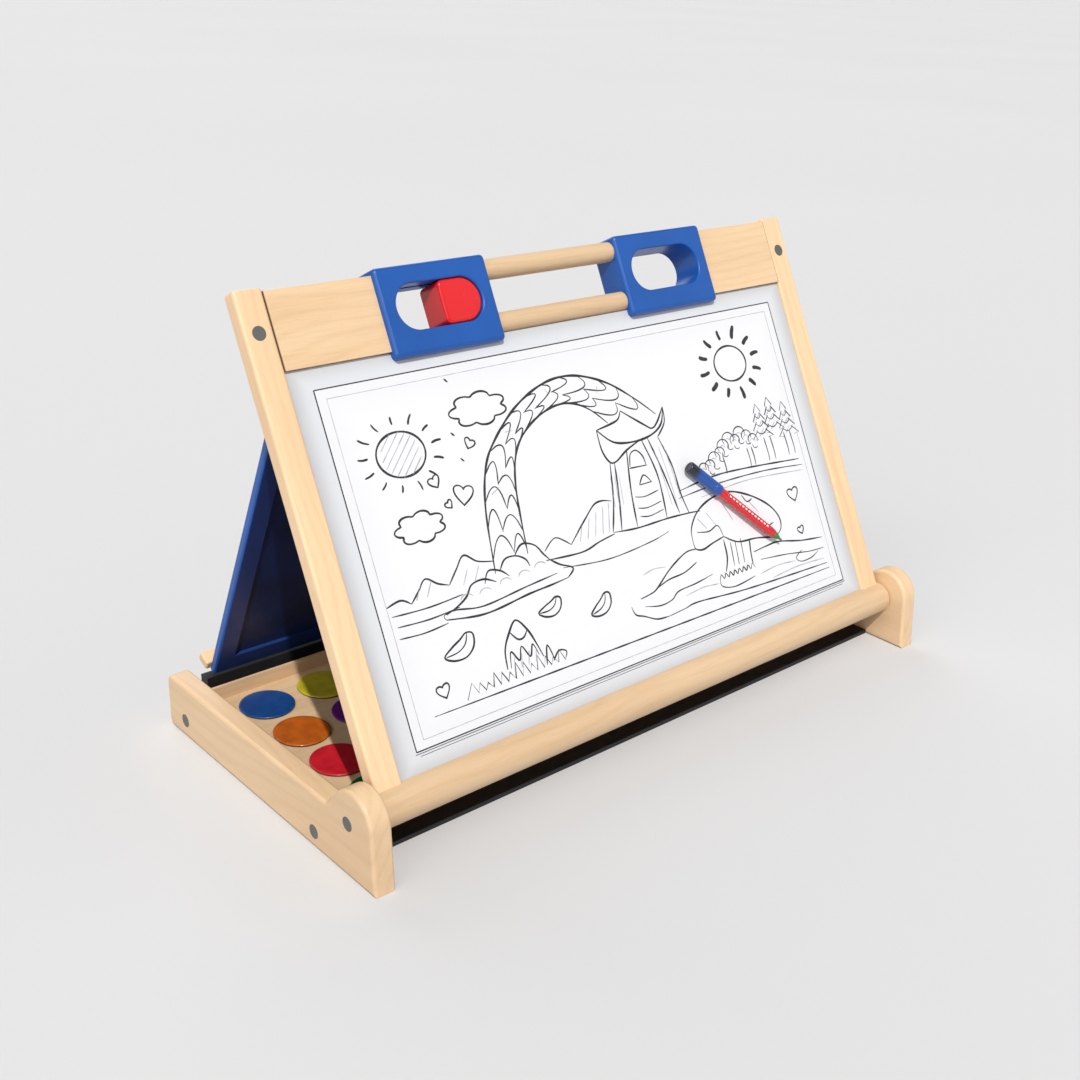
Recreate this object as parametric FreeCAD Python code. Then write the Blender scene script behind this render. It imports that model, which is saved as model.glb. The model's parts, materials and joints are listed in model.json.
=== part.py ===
import FreeCAD, Part
import math
import os

# A folding tabletop easel for children: two side rails carry a paint tray and the pivot of a
# framed drawing board, and a chalkboard hinged behind it props the board up from the rear.
# Millimetres and degrees, +Z up, X across the easel, +Y to the rear.

os.makedirs("parts", exist_ok=True)

Vector = FreeCAD.Vector
X_AXIS = Vector(1, 0, 0)
Y_AXIS = Vector(0, 1, 0)
Z_AXIS = Vector(0, 0, 1)
ORIGIN = Vector(0, 0, 0)

# ------------------------------------------------------------------ overall sizes
overall_width = 520.0       # across the outer faces of the side rails
rail_length = 245.4         # front to back of a side rail
front_height = 310.4        # pivot axis to the top of the stiles, along the leaning panel
front_lean = 27.4           # how far the drawing panel leans back from upright

# ------------------------------------------------------------------ clearances
glue_gap = 0.05             # between glued or screwed pieces of one assembly
running_gap = 0.06          # round a pin that turns in its hole
slide_gap = 0.3             # round a block that slides by hand
rest_gap = 0.3              # between a moving piece and what it rests against
overcut = 1.0               # how far a cutting shape runs past what it cuts, or a bore past its screw

# ------------------------------------------------------------------ tolerances for picking edges
same_place = 1e-4
flat = 1e-6
parallel = 0.999            # least cosine of the angle between an edge and an axis

# ------------------------------------------------------------------ base
rail_thickness = 15.0
rail_height = 38.5
rail_round = 2.4            # rounding of the rail's long edges
ear_radius = 20.0           # round ear that carries the pivot
ear_centre_y = 23.5
ear_centre_z = 39.0
ear_flank_angle = 39.7      # where the ear's rear flank leaves its circle, above level
notch_round = 5.0
base_board_thickness = 3.0
base_board_front = 34.5
palette_top = 20.0          # height of the tray floor
palette_thickness = 3.0
palette_front = 45.0
palette_rear = 221.0
wall_thickness = 2.5        # rear wall of the tray
wall_height = 9.8           # above the tray floor
cross_rail_width = 15.0
front_cross_y = 63.7
rear_cross_y = 222.2
front_screw_z = 10.8
rear_screw_z = 12.5
stop_thickness = 9.0        # rear board that the chalkboard's foot stands on
stop_top = 30.0
stop_end_gap = 10.0         # short of the rails at each end
stop_setback = 0.4          # in front of the rails' rear ends

# ------------------------------------------------------------------ paint discs
disc_radius = 19.0
disc_thickness = 2.0
disc_bevel = 0.4
disc_pitch_x = 45.5
disc_pitch_y = 43.8
disc_first_y = 63.4
disc_side_gap = 13.0        # first disc's edge to the rail
disc_rows = 4
disc_colours = [
    "green", "red", "orange", "blue",
    "brown", "sky_blue", "purple", "yellow",
    "black", "turquoise", "pink", "white",
]

# ------------------------------------------------------------------ drawing panel
pivot_y = 27.4
pivot_z = 36.0
panel_thickness = 12.0
panel_side_gap = 4.85       # stile to rail
stile_width = 19.2
stile_round = 2.0
dowel_radius = 12.0
dowel_end_round = 3.0
board_thickness = 3.2
board_recess = 2.5          # behind the stiles' front face
board_groove = 4.0          # how deep the board sits in the stiles
board_foot = 8.2            # lower edge of the board above the pivot axis, in the dowel's groove
board_top_gap = 0.2         # under the top rails and the lower handle bar
top_rail_height = 48.0
top_rail_drop = 2.5         # below the tops of the stiles
tenon_length = 14.0
tenon_thickness = 4.0
tenon_height = 36.0
hinge_rail_height = 32.0
hinge_rail_below_pin = 8.0
hinge_rail_gap = 0.1        # under the blue sleeves

# ------------------------------------------------------------------ blue sleeves, latch and handle
sleeve_inner_x = 58.0
sleeve_width = 87.6
sleeve_depth = 25.0
sleeve_proud = 3.5          # in front of the stiles
sleeve_over_rail = 3.8      # above the top rail
sleeve_under_rail = 5.7     # below the top rail
sleeve_round = 3.0
slot_length = 67.0
slot_height = 29.6
slot_rise = 1.7             # slot's centre above the sleeve's centre
slot_round = 1.2
socket_depth = 5.0          # how far the top rail enters the sleeve
handle_radius = 7.0
handle_hole_depth = 8.0
upper_handle_drop = 9.0     # below the top of the sleeve
lower_handle_rise = 12.5    # above the bottom of the sleeve
latch_length = 31.0
latch_recess = 1.0
latch_round = 2.0           # of both faces' edges
latch_corner_round = 4.0    # of the flat end's corners
rib_width = 3.0
rib_height = 1.5

# ------------------------------------------------------------------ chalkboard panel
back_width = 458.0
back_thickness = 6.0
back_border = 14.0          # at the sides and the foot
back_top_border = 26.0      # wide enough for the hinges' screws
back_round = 1.5
chalkboard_thickness = 3.0
rabbet_width = 5.0
rabbet_depth = 3.5
back_top_drop = 3.5         # top edge below the hinge pin
foot_inset = 7.2            # foot's lowest corner in front of the rails' rear ends
ledge_overhang = 3.0        # beyond the frame at each side
ledge_depth = 11.0
ledge_height = 7.0
ledge_round = 1.5

# ------------------------------------------------------------------ hinges
hinge_x = 150.0
hinge_width = 40.0
leaf_thickness = 1.4
leaf_length = 20.0
knuckle_radius = 3.2
hinge_pin_radius = 1.5
hinge_offset = 3.3          # pin to either panel's face
knuckle_gap = 0.3
middle_knuckle = 15.4

# ------------------------------------------------------------------ screws
rail_head_radius = 4.65
rail_head_thickness = 2.0
rail_shank_radius = 2.0
rail_screw_length = 40.0
pivot_shank_radius = 2.5
pivot_screw_length = 36.0
stile_head_radius = 4.4
stile_head_thickness = 1.8
stile_shank_radius = 1.8
stile_screw_length = 10.5
hinge_head_radius = 2.6
hinge_shank_radius = 1.2
hinge_screw_length = 5.4
hinge_screw_x = 13.0        # from the hinge's middle
hinge_screw_reach = 13.0    # from the pin

# ------------------------------------------------------------------ magnetic pen
pen_radius = 3.5
pen_cap_radius = 4.4
pen_cap_length = 33.0
pen_cap_round = 1.0
pen_barrel_length = 60.0
pen_tip_length = 9.5
pen_tenon_radius = 2.2
pen_tenon_length = 8.0
pen_nose_radius = 0.8
pen_magnet_radius = 2.9     # and the radius of the barrel's tail behind it
pen_magnet_thickness = 5.0
pen_angle = -44.7           # from level, nib down to the right
pen_cap_x = 70.9            # middle of the cap's end
pen_cap_height = 141.7      # above the pivot axis, along the panel

# ------------------------------------------------------------------ worked out from the above
half_width = overall_width / 2
inner_x = half_width - rail_thickness
stile_outer_x = inner_x - panel_side_gap
stile_inner_x = stile_outer_x - stile_width
panel_half = panel_thickness / 2
board_front = board_recess - panel_half
board_back = board_front + board_thickness
rail_top = front_height - top_rail_drop
rail_bottom = rail_top - top_rail_height
rail_middle = (rail_top + rail_bottom) / 2
sleeve_outer_x = sleeve_inner_x + sleeve_width
sleeve_top = rail_top + sleeve_over_rail
sleeve_bottom = rail_bottom - sleeve_under_rail
sleeve_front = -panel_half - sleeve_proud
sleeve_back = sleeve_front + sleeve_depth
slot_z = (sleeve_top + sleeve_bottom) / 2 + slot_rise
slot_x = (sleeve_inner_x + sleeve_outer_x) / 2
upper_handle_z = sleeve_top - upper_handle_drop
lower_handle_z = sleeve_bottom + lower_handle_rise
board_top = min(rail_bottom, lower_handle_z - handle_radius) - board_top_gap
palette_bottom = palette_top - palette_thickness
hinge_rail_bottom = sleeve_bottom - hinge_rail_gap - hinge_rail_height
hinge_height = hinge_rail_bottom + hinge_rail_below_pin
hinge_back_y = panel_half + hinge_offset
stop_rear = rail_length - stop_setback
back_half = back_width / 2


def pin_position():
    """Hinge pin's place, with the drawing panel at its lean."""
    lean = math.radians(front_lean)
    y = pivot_y + hinge_height * math.sin(lean) + hinge_back_y * math.cos(lean)
    z = pivot_z + hinge_height * math.cos(lean) - hinge_back_y * math.sin(lean)
    return y, z


def back_panel_geometry():
    """Lean of the chalkboard panel and its reach from pin to foot, so that it stands on its stop."""
    pin_y, pin_z = pin_position()
    foot_y = rail_length - foot_inset
    foot_z = stop_top + rest_gap
    across = foot_y - pin_y
    down = pin_z - foot_z
    distance = math.hypot(across, down)
    offset_angle = math.degrees(math.asin(hinge_offset / distance))
    lean = math.degrees(math.atan2(across, down)) - offset_angle
    reach = math.sqrt(distance ** 2 - hinge_offset ** 2)
    return lean, reach


back_lean, back_reach = back_panel_geometry()


# ------------------------------------------------------------------ helpers
def box(x_range, y_range, z_range):
    """Box between the two values of each range."""
    size = [abs(r[1] - r[0]) for r in (x_range, y_range, z_range)]
    corner = Vector(min(x_range), min(y_range), min(z_range))
    return Part.makeBox(size[0], size[1], size[2], corner)


def bar_x(radius, x_range, y, z):
    """Cylinder along X between two places."""
    length = abs(x_range[1] - x_range[0])
    return Part.makeCylinder(radius, length, Vector(min(x_range), y, z), X_AXIS)


def round_edges(shape, radius, chosen):
    """Fillet the edges that the test picks."""
    edges = [edge for edge in shape.Edges if chosen(edge)]
    return shape.makeFillet(radius, edges)


def runs_along(edge, axis):
    """True for a straight edge that runs along the axis."""
    if not isinstance(edge.Curve, Part.Line):
        return False
    return abs(edge.Curve.Direction.dot(axis)) > parallel


def round_box(x_range, y_range, z_range, radius):
    """Box with all its edges rounded."""
    shape = box(x_range, y_range, z_range)
    return shape.makeFillet(radius, shape.Edges)


def mirrored(shape):
    """Copy of the shape on the other side of the easel."""
    return shape.mirror(ORIGIN, X_AXIS)


def lean_back(shape):
    """Place a shape of the drawing panel, drawn upright about the pivot axis."""
    placed = shape.copy()
    placed.rotate(ORIGIN, X_AXIS, -front_lean)
    placed.translate(Vector(0, pivot_y, pivot_z))
    return placed


def lean_forward(shape):
    """Place a shape of the chalkboard panel, drawn upright below the hinge pin."""
    pin_y, pin_z = pin_position()
    placed = shape.copy()
    placed.rotate(ORIGIN, X_AXIS, back_lean)
    placed.translate(Vector(0, pin_y, pin_z))
    return placed


def flush_screw(head_radius, head_thickness, shank_radius, length):
    """Flat-headed screw along +X, with the head's face at the origin."""
    head = Part.makeCylinder(head_radius, head_thickness, ORIGIN, X_AXIS)
    shank = Part.makeCylinder(shank_radius, length, ORIGIN, X_AXIS)
    return head.fuse(shank).removeSplitter()


def countersunk_screw(gap=0.0):
    """Countersunk screw along +Y with the head's face at the origin; the gap makes its hole."""
    top_radius = hinge_head_radius + gap
    shank_radius = hinge_shank_radius + gap
    head = Part.makeCone(top_radius, shank_radius, leaf_thickness, ORIGIN, Y_AXIS)
    shank = Part.makeCylinder(shank_radius, hinge_screw_length + gap, ORIGIN, Y_AXIS)
    return head.fuse(shank).removeSplitter()


# ------------------------------------------------------------------ base pieces
def rail_outline():
    """Side view of a side rail: a tapered front, a round ear and a level rear."""
    centre = Vector(0, ear_centre_y, ear_centre_z)
    reach = math.hypot(ear_centre_y, ear_centre_z)
    bearing = math.atan2(-ear_centre_z, -ear_centre_y)
    opening = math.acos(ear_radius / reach)
    front_angle = bearing - opening
    flank_angle = math.radians(ear_flank_angle)

    def on_ear(angle):
        return centre + Vector(0, ear_radius * math.cos(angle), ear_radius * math.sin(angle))

    flank = on_ear(flank_angle)
    flank_run = (flank.z - rail_height) * math.tan(flank_angle)
    notch = Vector(0, flank.y + flank_run, rail_height)
    points = [notch, Vector(0, rail_length, rail_height), Vector(0, rail_length, 0), Vector(0, 0, 0)]
    edges = [Part.Arc(on_ear(front_angle), on_ear(math.radians(90)), flank).toShape()]
    edges.append(Part.LineSegment(flank, notch).toShape())
    for start, end in zip(points, points[1:]):
        edges.append(Part.LineSegment(start, end).toShape())
    edges.append(Part.LineSegment(points[-1], on_ear(front_angle)).toShape())
    return Part.Wire(edges)


def side_rail():
    """Right side rail with its holes for the pivot screw and the two cross-rail screws."""
    profile = rail_outline()
    profile.translate(Vector(inner_x, 0, 0))
    rail = Part.Face(profile).extrude(Vector(rail_thickness, 0, 0))

    def at_corner(edge):
        middle = edge.BoundBox.Center
        rear = middle.y > rail_length - same_place
        notch = ear_centre_y < middle.y < rail_length / 2 and abs(middle.z - rail_height) < same_place
        return runs_along(edge, X_AXIS) and (rear or notch)

    rail = round_edges(rail, notch_round, at_corner)

    def on_side_face(edge):
        return edge.BoundBox.XLength < flat

    rail = round_edges(rail, rail_round, on_side_face)
    for y, z, shank in rail_holes():
        head_hole = rail_head_thickness + glue_gap
        seat = bar_x(rail_head_radius + glue_gap, (half_width - head_hole, half_width + overcut), y, z)
        hole = bar_x(shank + glue_gap, (inner_x - overcut, half_width), y, z)
        rail = rail.cut(seat).cut(hole)
    return rail


def rail_holes():
    """Place and shank radius of each screw in a side rail."""
    return [
        (pivot_y, pivot_z, pivot_shank_radius),
        (front_cross_y, front_screw_z, rail_shank_radius),
        (rear_cross_y, rear_screw_z, rail_shank_radius),
    ]


def side_screw(y, z, shank, length):
    """Screw that enters the right side rail from outside."""
    screw = flush_screw(rail_head_radius, rail_head_thickness, shank, length)
    screw.rotate(ORIGIN, Z_AXIS, 180)
    screw.translate(Vector(half_width, y, z))
    return screw


def screw_pair(y, z, shank, length):
    """The same screw at both sides of the easel."""
    right = side_screw(y, z, shank, length)
    return [right, mirrored(right)]


def cross_rail(middle_y, screw_z):
    """Rail between the side rails under the tray, bored at both ends for its screws."""
    half = cross_rail_width / 2
    end_x = inner_x - glue_gap
    z_range = (base_board_thickness + glue_gap, palette_bottom - glue_gap)
    rail = box((-end_x, end_x), (middle_y - half, middle_y + half), z_range)
    bore_end = half_width - rail_screw_length - overcut
    bore = bar_x(rail_shank_radius + glue_gap, (bore_end, inner_x), middle_y, screw_z)
    return rail.cut(bore).cut(mirrored(bore))


def base_board():
    """Thin board on the floor between the side rails."""
    end_x = inner_x - glue_gap
    return box((-end_x, end_x), (base_board_front, stop_rear), (0, base_board_thickness))


def rear_stop_board():
    """Upright board at the rear that carries the chalkboard's foot."""
    end_x = inner_x - stop_end_gap
    z_range = (base_board_thickness + glue_gap, stop_top)
    return box((-end_x, end_x), (stop_rear - stop_thickness, stop_rear), z_range)


def palette_board():
    """Floor of the paint tray."""
    end_x = inner_x - glue_gap
    return box((-end_x, end_x), (palette_front, palette_rear), (palette_bottom, palette_top))


def palette_rear_wall():
    """Strip that closes the tray at the rear, standing on the rear cross rail."""
    end_x = inner_x - glue_gap
    front = palette_rear + glue_gap
    z_range = (palette_bottom, palette_top + wall_height)
    return box((-end_x, end_x), (front, front + wall_thickness), z_range)


def paint_disc(index):
    """One flat cake of paint, in columns that start at the left rail."""
    column, row = divmod(index, disc_rows)
    x = -inner_x + disc_side_gap + disc_radius + column * disc_pitch_x
    y = disc_first_y + row * disc_pitch_y
    disc = Part.makeCylinder(disc_radius, disc_thickness, Vector(x, y, palette_top + glue_gap))
    top = palette_top + glue_gap + disc_thickness
    rim = [edge for edge in disc.Edges if abs(edge.BoundBox.ZMin - top) < same_place]
    return disc.makeChamfer(disc_bevel, rim)


# ------------------------------------------------------------------ drawing panel, upright about the pivot
def board_slot(x_range, low_z, high_z):
    """Groove that the drawing board's edge sits in."""
    return box(x_range, (board_front - glue_gap, board_back + glue_gap), (low_z, high_z))


def bottom_dowel():
    """Round bar that turns on the pivot screws and holds the board's lower edge."""
    end_x = inner_x - rest_gap
    dowel = bar_x(dowel_radius, (-end_x, end_x), 0, 0)
    rims = [edge for edge in dowel.Edges if edge.BoundBox.XLength < flat]
    dowel = dowel.makeFillet(dowel_end_round, rims)
    bore_end = half_width - pivot_screw_length - overcut
    bore = bar_x(pivot_shank_radius + running_gap, (bore_end, inner_x), 0, 0)
    board_x = stile_inner_x + board_groove
    groove = board_slot((-board_x, board_x), board_foot - glue_gap, dowel_radius + overcut)
    return dowel.cut(bore).cut(mirrored(bore)).cut(groove)


def stile():
    """Right upright of the frame, coped onto the dowel, grooved for the board and mortised."""
    upright = box((stile_inner_x, stile_outer_x), (-panel_half, panel_half), (0, front_height))
    above_foot = [edge for edge in upright.Edges if edge.BoundBox.ZMax > same_place]
    upright = upright.makeFillet(stile_round, above_foot)
    upright = upright.cut(bar_x(dowel_radius + glue_gap, (stile_inner_x - overcut, inner_x), 0, 0))
    groove_end = stile_inner_x + board_groove
    groove = board_slot((stile_inner_x - overcut, groove_end), 0, board_top + glue_gap)
    half_tenon = tenon_thickness / 2 + glue_gap
    half_height = tenon_height / 2 + glue_gap
    tenon_end = stile_inner_x + tenon_length + glue_gap
    z_range = (rail_middle - half_height, rail_middle + half_height)
    mortise = box((stile_inner_x - overcut, tenon_end), (-half_tenon, half_tenon), z_range)
    return upright.cut(groove).cut(mortise).cut(stile_screw(glue_gap))


def stile_screw(gap=0.0):
    """Screw through the right stile and the rail's tenon; the gap makes its hole."""
    head_thickness = stile_head_thickness + gap
    length = stile_screw_length + gap
    screw = flush_screw(stile_head_radius + gap, head_thickness, stile_shank_radius + gap, length)
    screw.rotate(ORIGIN, Z_AXIS, 90)
    screw.translate(Vector((stile_inner_x + stile_outer_x) / 2, -panel_half, rail_middle))
    return screw


def top_rail():
    """Right top rail, from a tenon in the stile to its socket in the blue sleeve."""
    inner_end = sleeve_outer_x - socket_depth + glue_gap
    outer_end = stile_inner_x - glue_gap
    rail = box((inner_end, outer_end), (-panel_half, panel_half), (rail_bottom, rail_top))
    half_tenon = tenon_thickness / 2
    z_range = (rail_middle - tenon_height / 2, rail_middle + tenon_height / 2)
    tenon_end = stile_inner_x + tenon_length
    tenon = box((outer_end, tenon_end), (-half_tenon, half_tenon), z_range)
    return rail.fuse(tenon).removeSplitter().cut(stile_screw(glue_gap))


def whiteboard():
    """Drawing board, held in the stiles, the sleeves and the dowel."""
    half = stile_inner_x + board_groove - glue_gap
    return box((-half, half), (board_front, board_back), (board_foot, board_top))


def hinge_rail():
    """Flat rail behind the board that the hinges are screwed to."""
    half = stile_inner_x - glue_gap
    z_range = (hinge_rail_bottom, hinge_rail_bottom + hinge_rail_height)
    rail = box((-half, half), (board_back + glue_gap, panel_half), z_range)
    for hole in front_hinge_screws(glue_gap):
        rail = rail.cut(hole)
    return rail


def stadium(middle_x, middle_z, length, height, y_range):
    """Bar along Y with a section of two half circles joined by flats."""
    radius = height / 2
    reach = length / 2 - radius
    flats = box((middle_x - reach, middle_x + reach), y_range, (middle_z - radius, middle_z + radius))
    depth = abs(y_range[1] - y_range[0])
    for side in (-1, 1):
        centre = Vector(middle_x + side * reach, min(y_range), middle_z)
        flats = flats.fuse(Part.makeCylinder(radius, depth, centre, Y_AXIS))
    return flats.removeSplitter()


def sleeve():
    """Right blue sleeve: slot through it, socket for the top rail, holes for the handle bars."""
    x_range = (sleeve_inner_x, sleeve_outer_x)
    body = round_box(x_range, (sleeve_front, sleeve_back), (sleeve_bottom, sleeve_top), sleeve_round)
    slot = stadium(slot_x, slot_z, slot_length, slot_height, (sleeve_front - overcut, sleeve_back + overcut))
    body = body.cut(slot)

    def at_slot_mouth(edge):
        limits = edge.BoundBox
        mouth = min(abs(limits.YMin - sleeve_front), abs(limits.YMin - sleeve_back)) < same_place
        across = abs(limits.Center.x - slot_x) < slot_length / 2
        tall = abs(limits.Center.z - slot_z) <= slot_height / 2 + same_place
        return mouth and limits.YLength < same_place and across and tall

    body = round_edges(body, slot_round, at_slot_mouth)
    gap = glue_gap
    socket_x = (sleeve_outer_x - socket_depth, sleeve_outer_x + overcut)
    socket_y = (-panel_half - gap, panel_half + gap)
    body = body.cut(box(socket_x, socket_y, (rail_bottom - gap, rail_top + gap)))
    slot_ends = (sleeve_inner_x - overcut, sleeve_outer_x + overcut)
    body = body.cut(board_slot(slot_ends, sleeve_bottom - overcut, board_top + gap))
    hole_x = (sleeve_inner_x - overcut, sleeve_inner_x + handle_hole_depth)
    for z in (upper_handle_z, lower_handle_z):
        body = body.cut(bar_x(handle_radius + gap, hole_x, 0, z))
    return body


def latch_rib(gap, start_x, end_x):
    """Ribs above and below the latch, or the grooves they run in when there is a gap."""
    half = rib_width / 2 + gap
    middle_y = (sleeve_front + sleeve_back) / 2
    reach = slot_height / 2 - slide_gap + rib_height + 2 * gap
    return box((start_x, end_x), (middle_y - half, middle_y + half), (slot_z - reach, slot_z + reach))


def left_sleeve():
    """Left sleeve, grooved above and below its slot for the latch's ribs."""
    straight = slot_length / 2 - slot_height / 2
    grooves = latch_rib(slide_gap, -slot_x - straight, -slot_x + straight)
    return mirrored(sleeve()).cut(grooves)


def slide_latch():
    """Red block that slides in the left slot, round at its inner end."""
    radius = slot_height / 2 - slide_gap
    round_x = -slot_x + slot_length / 2 - slot_height / 2
    flat_x = round_x + radius - latch_length
    y_range = (sleeve_front + latch_recess, sleeve_back - latch_recess)
    block = box((flat_x, round_x), y_range, (slot_z - radius, slot_z + radius))
    depth = y_range[1] - y_range[0]
    nose = Part.makeCylinder(radius, depth, Vector(round_x, y_range[0], slot_z), Y_AXIS)
    block = block.fuse(nose).removeSplitter()

    def at_flat_corner(edge):
        return runs_along(edge, Y_AXIS) and abs(edge.BoundBox.XMax - flat_x) < same_place

    block = round_edges(block, latch_corner_round, at_flat_corner)

    def at_face(edge):
        return edge.BoundBox.YLength < same_place

    block = round_edges(block, latch_round, at_face)
    return block.fuse(latch_rib(0, flat_x + latch_corner_round, round_x)).removeSplitter()


def handle_bar(z):
    """Round bar between the two sleeves."""
    end_x = sleeve_inner_x + handle_hole_depth - glue_gap
    return bar_x(handle_radius, (-end_x, end_x), 0, z)


# ------------------------------------------------------------------ hinges
def knuckle_spans():
    """X spans of the outer knuckles and of the middle one, about the hinge's middle."""
    half = hinge_width / 2
    middle = middle_knuckle / 2
    return [(-half, -middle - knuckle_gap), (middle + knuckle_gap, half)], [(-middle, middle)]


def hinge_leaf(plate, own_spans, other_spans):
    """Leaf from its plate, with its knuckles about the X axis and room for the other leaf's."""
    for low, high in other_spans:
        room = bar_x(knuckle_radius + knuckle_gap, (low - knuckle_gap, high + knuckle_gap), 0, 0)
        plate = plate.cut(room)
    for low, high in own_spans:
        plate = plate.fuse(bar_x(knuckle_radius, (low, high), 0, 0))
    plate = plate.removeSplitter()
    bore = bar_x(hinge_pin_radius + running_gap, (-hinge_width, hinge_width), 0, 0)
    return plate.cut(bore)


def front_leaf(middle_x):
    """Leaf on the hinge rail, above the pin."""
    outer, middle = knuckle_spans()
    half = hinge_width / 2
    y_range = (-hinge_offset, -hinge_offset + leaf_thickness)
    plate = box((-half, half), y_range, (0, leaf_length))
    leaf = hinge_leaf(plate, outer, middle)
    leaf.translate(Vector(middle_x, hinge_back_y, hinge_height))
    for hole in front_hinge_screws(glue_gap):
        leaf = leaf.cut(hole)
    return leaf


def back_leaf(middle_x):
    """Leaf on the chalkboard frame, below the pin."""
    outer, middle = knuckle_spans()
    half = hinge_width / 2
    y_range = (hinge_offset - leaf_thickness, hinge_offset)
    plate = box((-half, half), y_range, (-leaf_length, 0))
    leaf = hinge_leaf(plate, middle, outer)
    leaf.translate(Vector(middle_x, 0, 0))
    for hole in back_hinge_screws(glue_gap):
        leaf = leaf.cut(hole)
    return leaf


def hinge_pin(middle_x):
    """Pin through the knuckles of one hinge."""
    half = hinge_width / 2
    return bar_x(hinge_pin_radius, (middle_x - half, middle_x + half), hinge_back_y, hinge_height)


def hinge_screw_places():
    """X of each screw in one row of both hinges."""
    return [side * hinge_x + step for side in (-1, 1) for step in (-hinge_screw_x, hinge_screw_x)]


def front_hinge_screws(gap=0.0):
    """Screws through the front leaves into the hinge rail."""
    screws = []
    for x in hinge_screw_places():
        screw = countersunk_screw(gap)
        screw.rotate(ORIGIN, Z_AXIS, 180)
        screw.translate(Vector(x, panel_half + leaf_thickness, hinge_height + hinge_screw_reach))
        screws.append(screw)
    return screws


def back_hinge_screws(gap=0.0):
    """Screws through the back leaves into the chalkboard frame."""
    screws = []
    for x in hinge_screw_places():
        screw = countersunk_screw(gap)
        screw.translate(Vector(x, hinge_offset - leaf_thickness, -hinge_screw_reach))
        screws.append(screw)
    return screws


# ------------------------------------------------------------------ chalkboard panel, upright below the pin
def back_frame():
    """Blue frame round the chalkboard, rabbeted at its rear."""
    inner = hinge_offset
    outer = inner + back_thickness
    frame = box((-back_half, back_half), (inner, outer), (-back_reach, -back_top_drop))
    frame = frame.makeFillet(back_round, frame.Edges)
    open_x = back_half - back_border
    open_low = -back_reach + back_border
    open_high = -back_top_drop - back_top_border
    window = box((-open_x, open_x), (inner - overcut, outer + overcut), (open_low, open_high))
    wide_x = open_x + rabbet_width
    rabbet_y = (outer - rabbet_depth, outer + overcut)
    rabbet = box((-wide_x, wide_x), rabbet_y, (open_low - rabbet_width, open_high + rabbet_width))
    frame = frame.cut(window).cut(rabbet)
    for hole in back_hinge_screws(glue_gap):
        frame = frame.cut(hole)
    return frame


def chalkboard():
    """Black board in the frame's rabbet."""
    half = back_half - back_border + rabbet_width - glue_gap
    front = hinge_offset + back_thickness - rabbet_depth + glue_gap
    low = -back_reach + back_border - rabbet_width + glue_gap
    high = -back_top_drop - back_top_border + rabbet_width - glue_gap
    return box((-half, half), (front, front + chalkboard_thickness), (low, high))


def chalk_ledge():
    """Wooden ledge across the rear of the chalkboard's foot."""
    end_x = back_half + ledge_overhang
    front = hinge_offset + back_thickness + glue_gap
    z_range = (-back_reach, -back_reach + ledge_height)
    return round_box((-end_x, end_x), (front, front + ledge_depth), z_range, ledge_round)


# ------------------------------------------------------------------ pen, along +X with the cap's end at the origin
def pen_cap():
    """Cap at the tail of the pen, hollow for the magnet and the barrel's tenon."""
    cap = Part.makeCylinder(pen_cap_radius, pen_cap_length, ORIGIN, X_AXIS)
    rim = [edge for edge in cap.Edges if edge.BoundBox.XMax < same_place]
    cap = cap.makeFillet(pen_cap_round, rim)
    hollow_x = pen_cap_length - pen_tenon_length - pen_magnet_thickness - overcut
    hollow_start = Vector(hollow_x, 0, 0)
    hollow = Part.makeCylinder(pen_magnet_radius + glue_gap, pen_cap_length, hollow_start, X_AXIS)
    return cap.cut(hollow)


def pen_magnet():
    """Magnet inside the cap that holds the pen to the board."""
    end = pen_cap_length - pen_tenon_length
    start = Vector(end - pen_magnet_thickness - glue_gap, 0, 0)
    return Part.makeCylinder(pen_magnet_radius, pen_magnet_thickness, start, X_AXIS)


def pen_barrel():
    """Round barrel with a tenon in the cap and a socket for the nib."""
    start = Vector(pen_cap_length + glue_gap, 0, 0)
    barrel = Part.makeCylinder(pen_radius, pen_barrel_length, start, X_AXIS)
    tenon_start = Vector(pen_cap_length - pen_tenon_length + glue_gap, 0, 0)
    tenon = Part.makeCylinder(pen_magnet_radius, pen_tenon_length, tenon_start, X_AXIS)
    barrel = barrel.fuse(tenon).removeSplitter()
    return barrel.cut(pen_nib_tenon(glue_gap))


def pen_nib_tenon(gap=0.0):
    """Tenon of the nib in the barrel; the gap makes its socket."""
    end = pen_cap_length + pen_barrel_length
    start = Vector(end - pen_tenon_length - gap, 0, 0)
    return Part.makeCylinder(pen_tenon_radius + gap, pen_tenon_length + overcut, start, X_AXIS)


def pen_nib():
    """Tapered nib."""
    end = pen_cap_length + pen_barrel_length + 2 * glue_gap
    cone = Part.makeCone(pen_radius, pen_nose_radius, pen_tip_length, Vector(end, 0, 0), X_AXIS)
    return cone.fuse(pen_nib_tenon()).removeSplitter()


def on_board(shape):
    """Lay a piece of the pen on the drawing board."""
    placed = shape.copy()
    placed.rotate(ORIGIN, Y_AXIS, -pen_angle)
    height_off = board_front - pen_cap_radius - rest_gap
    placed.translate(Vector(pen_cap_x, height_off, pen_cap_height))
    return lean_back(placed)


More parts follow.
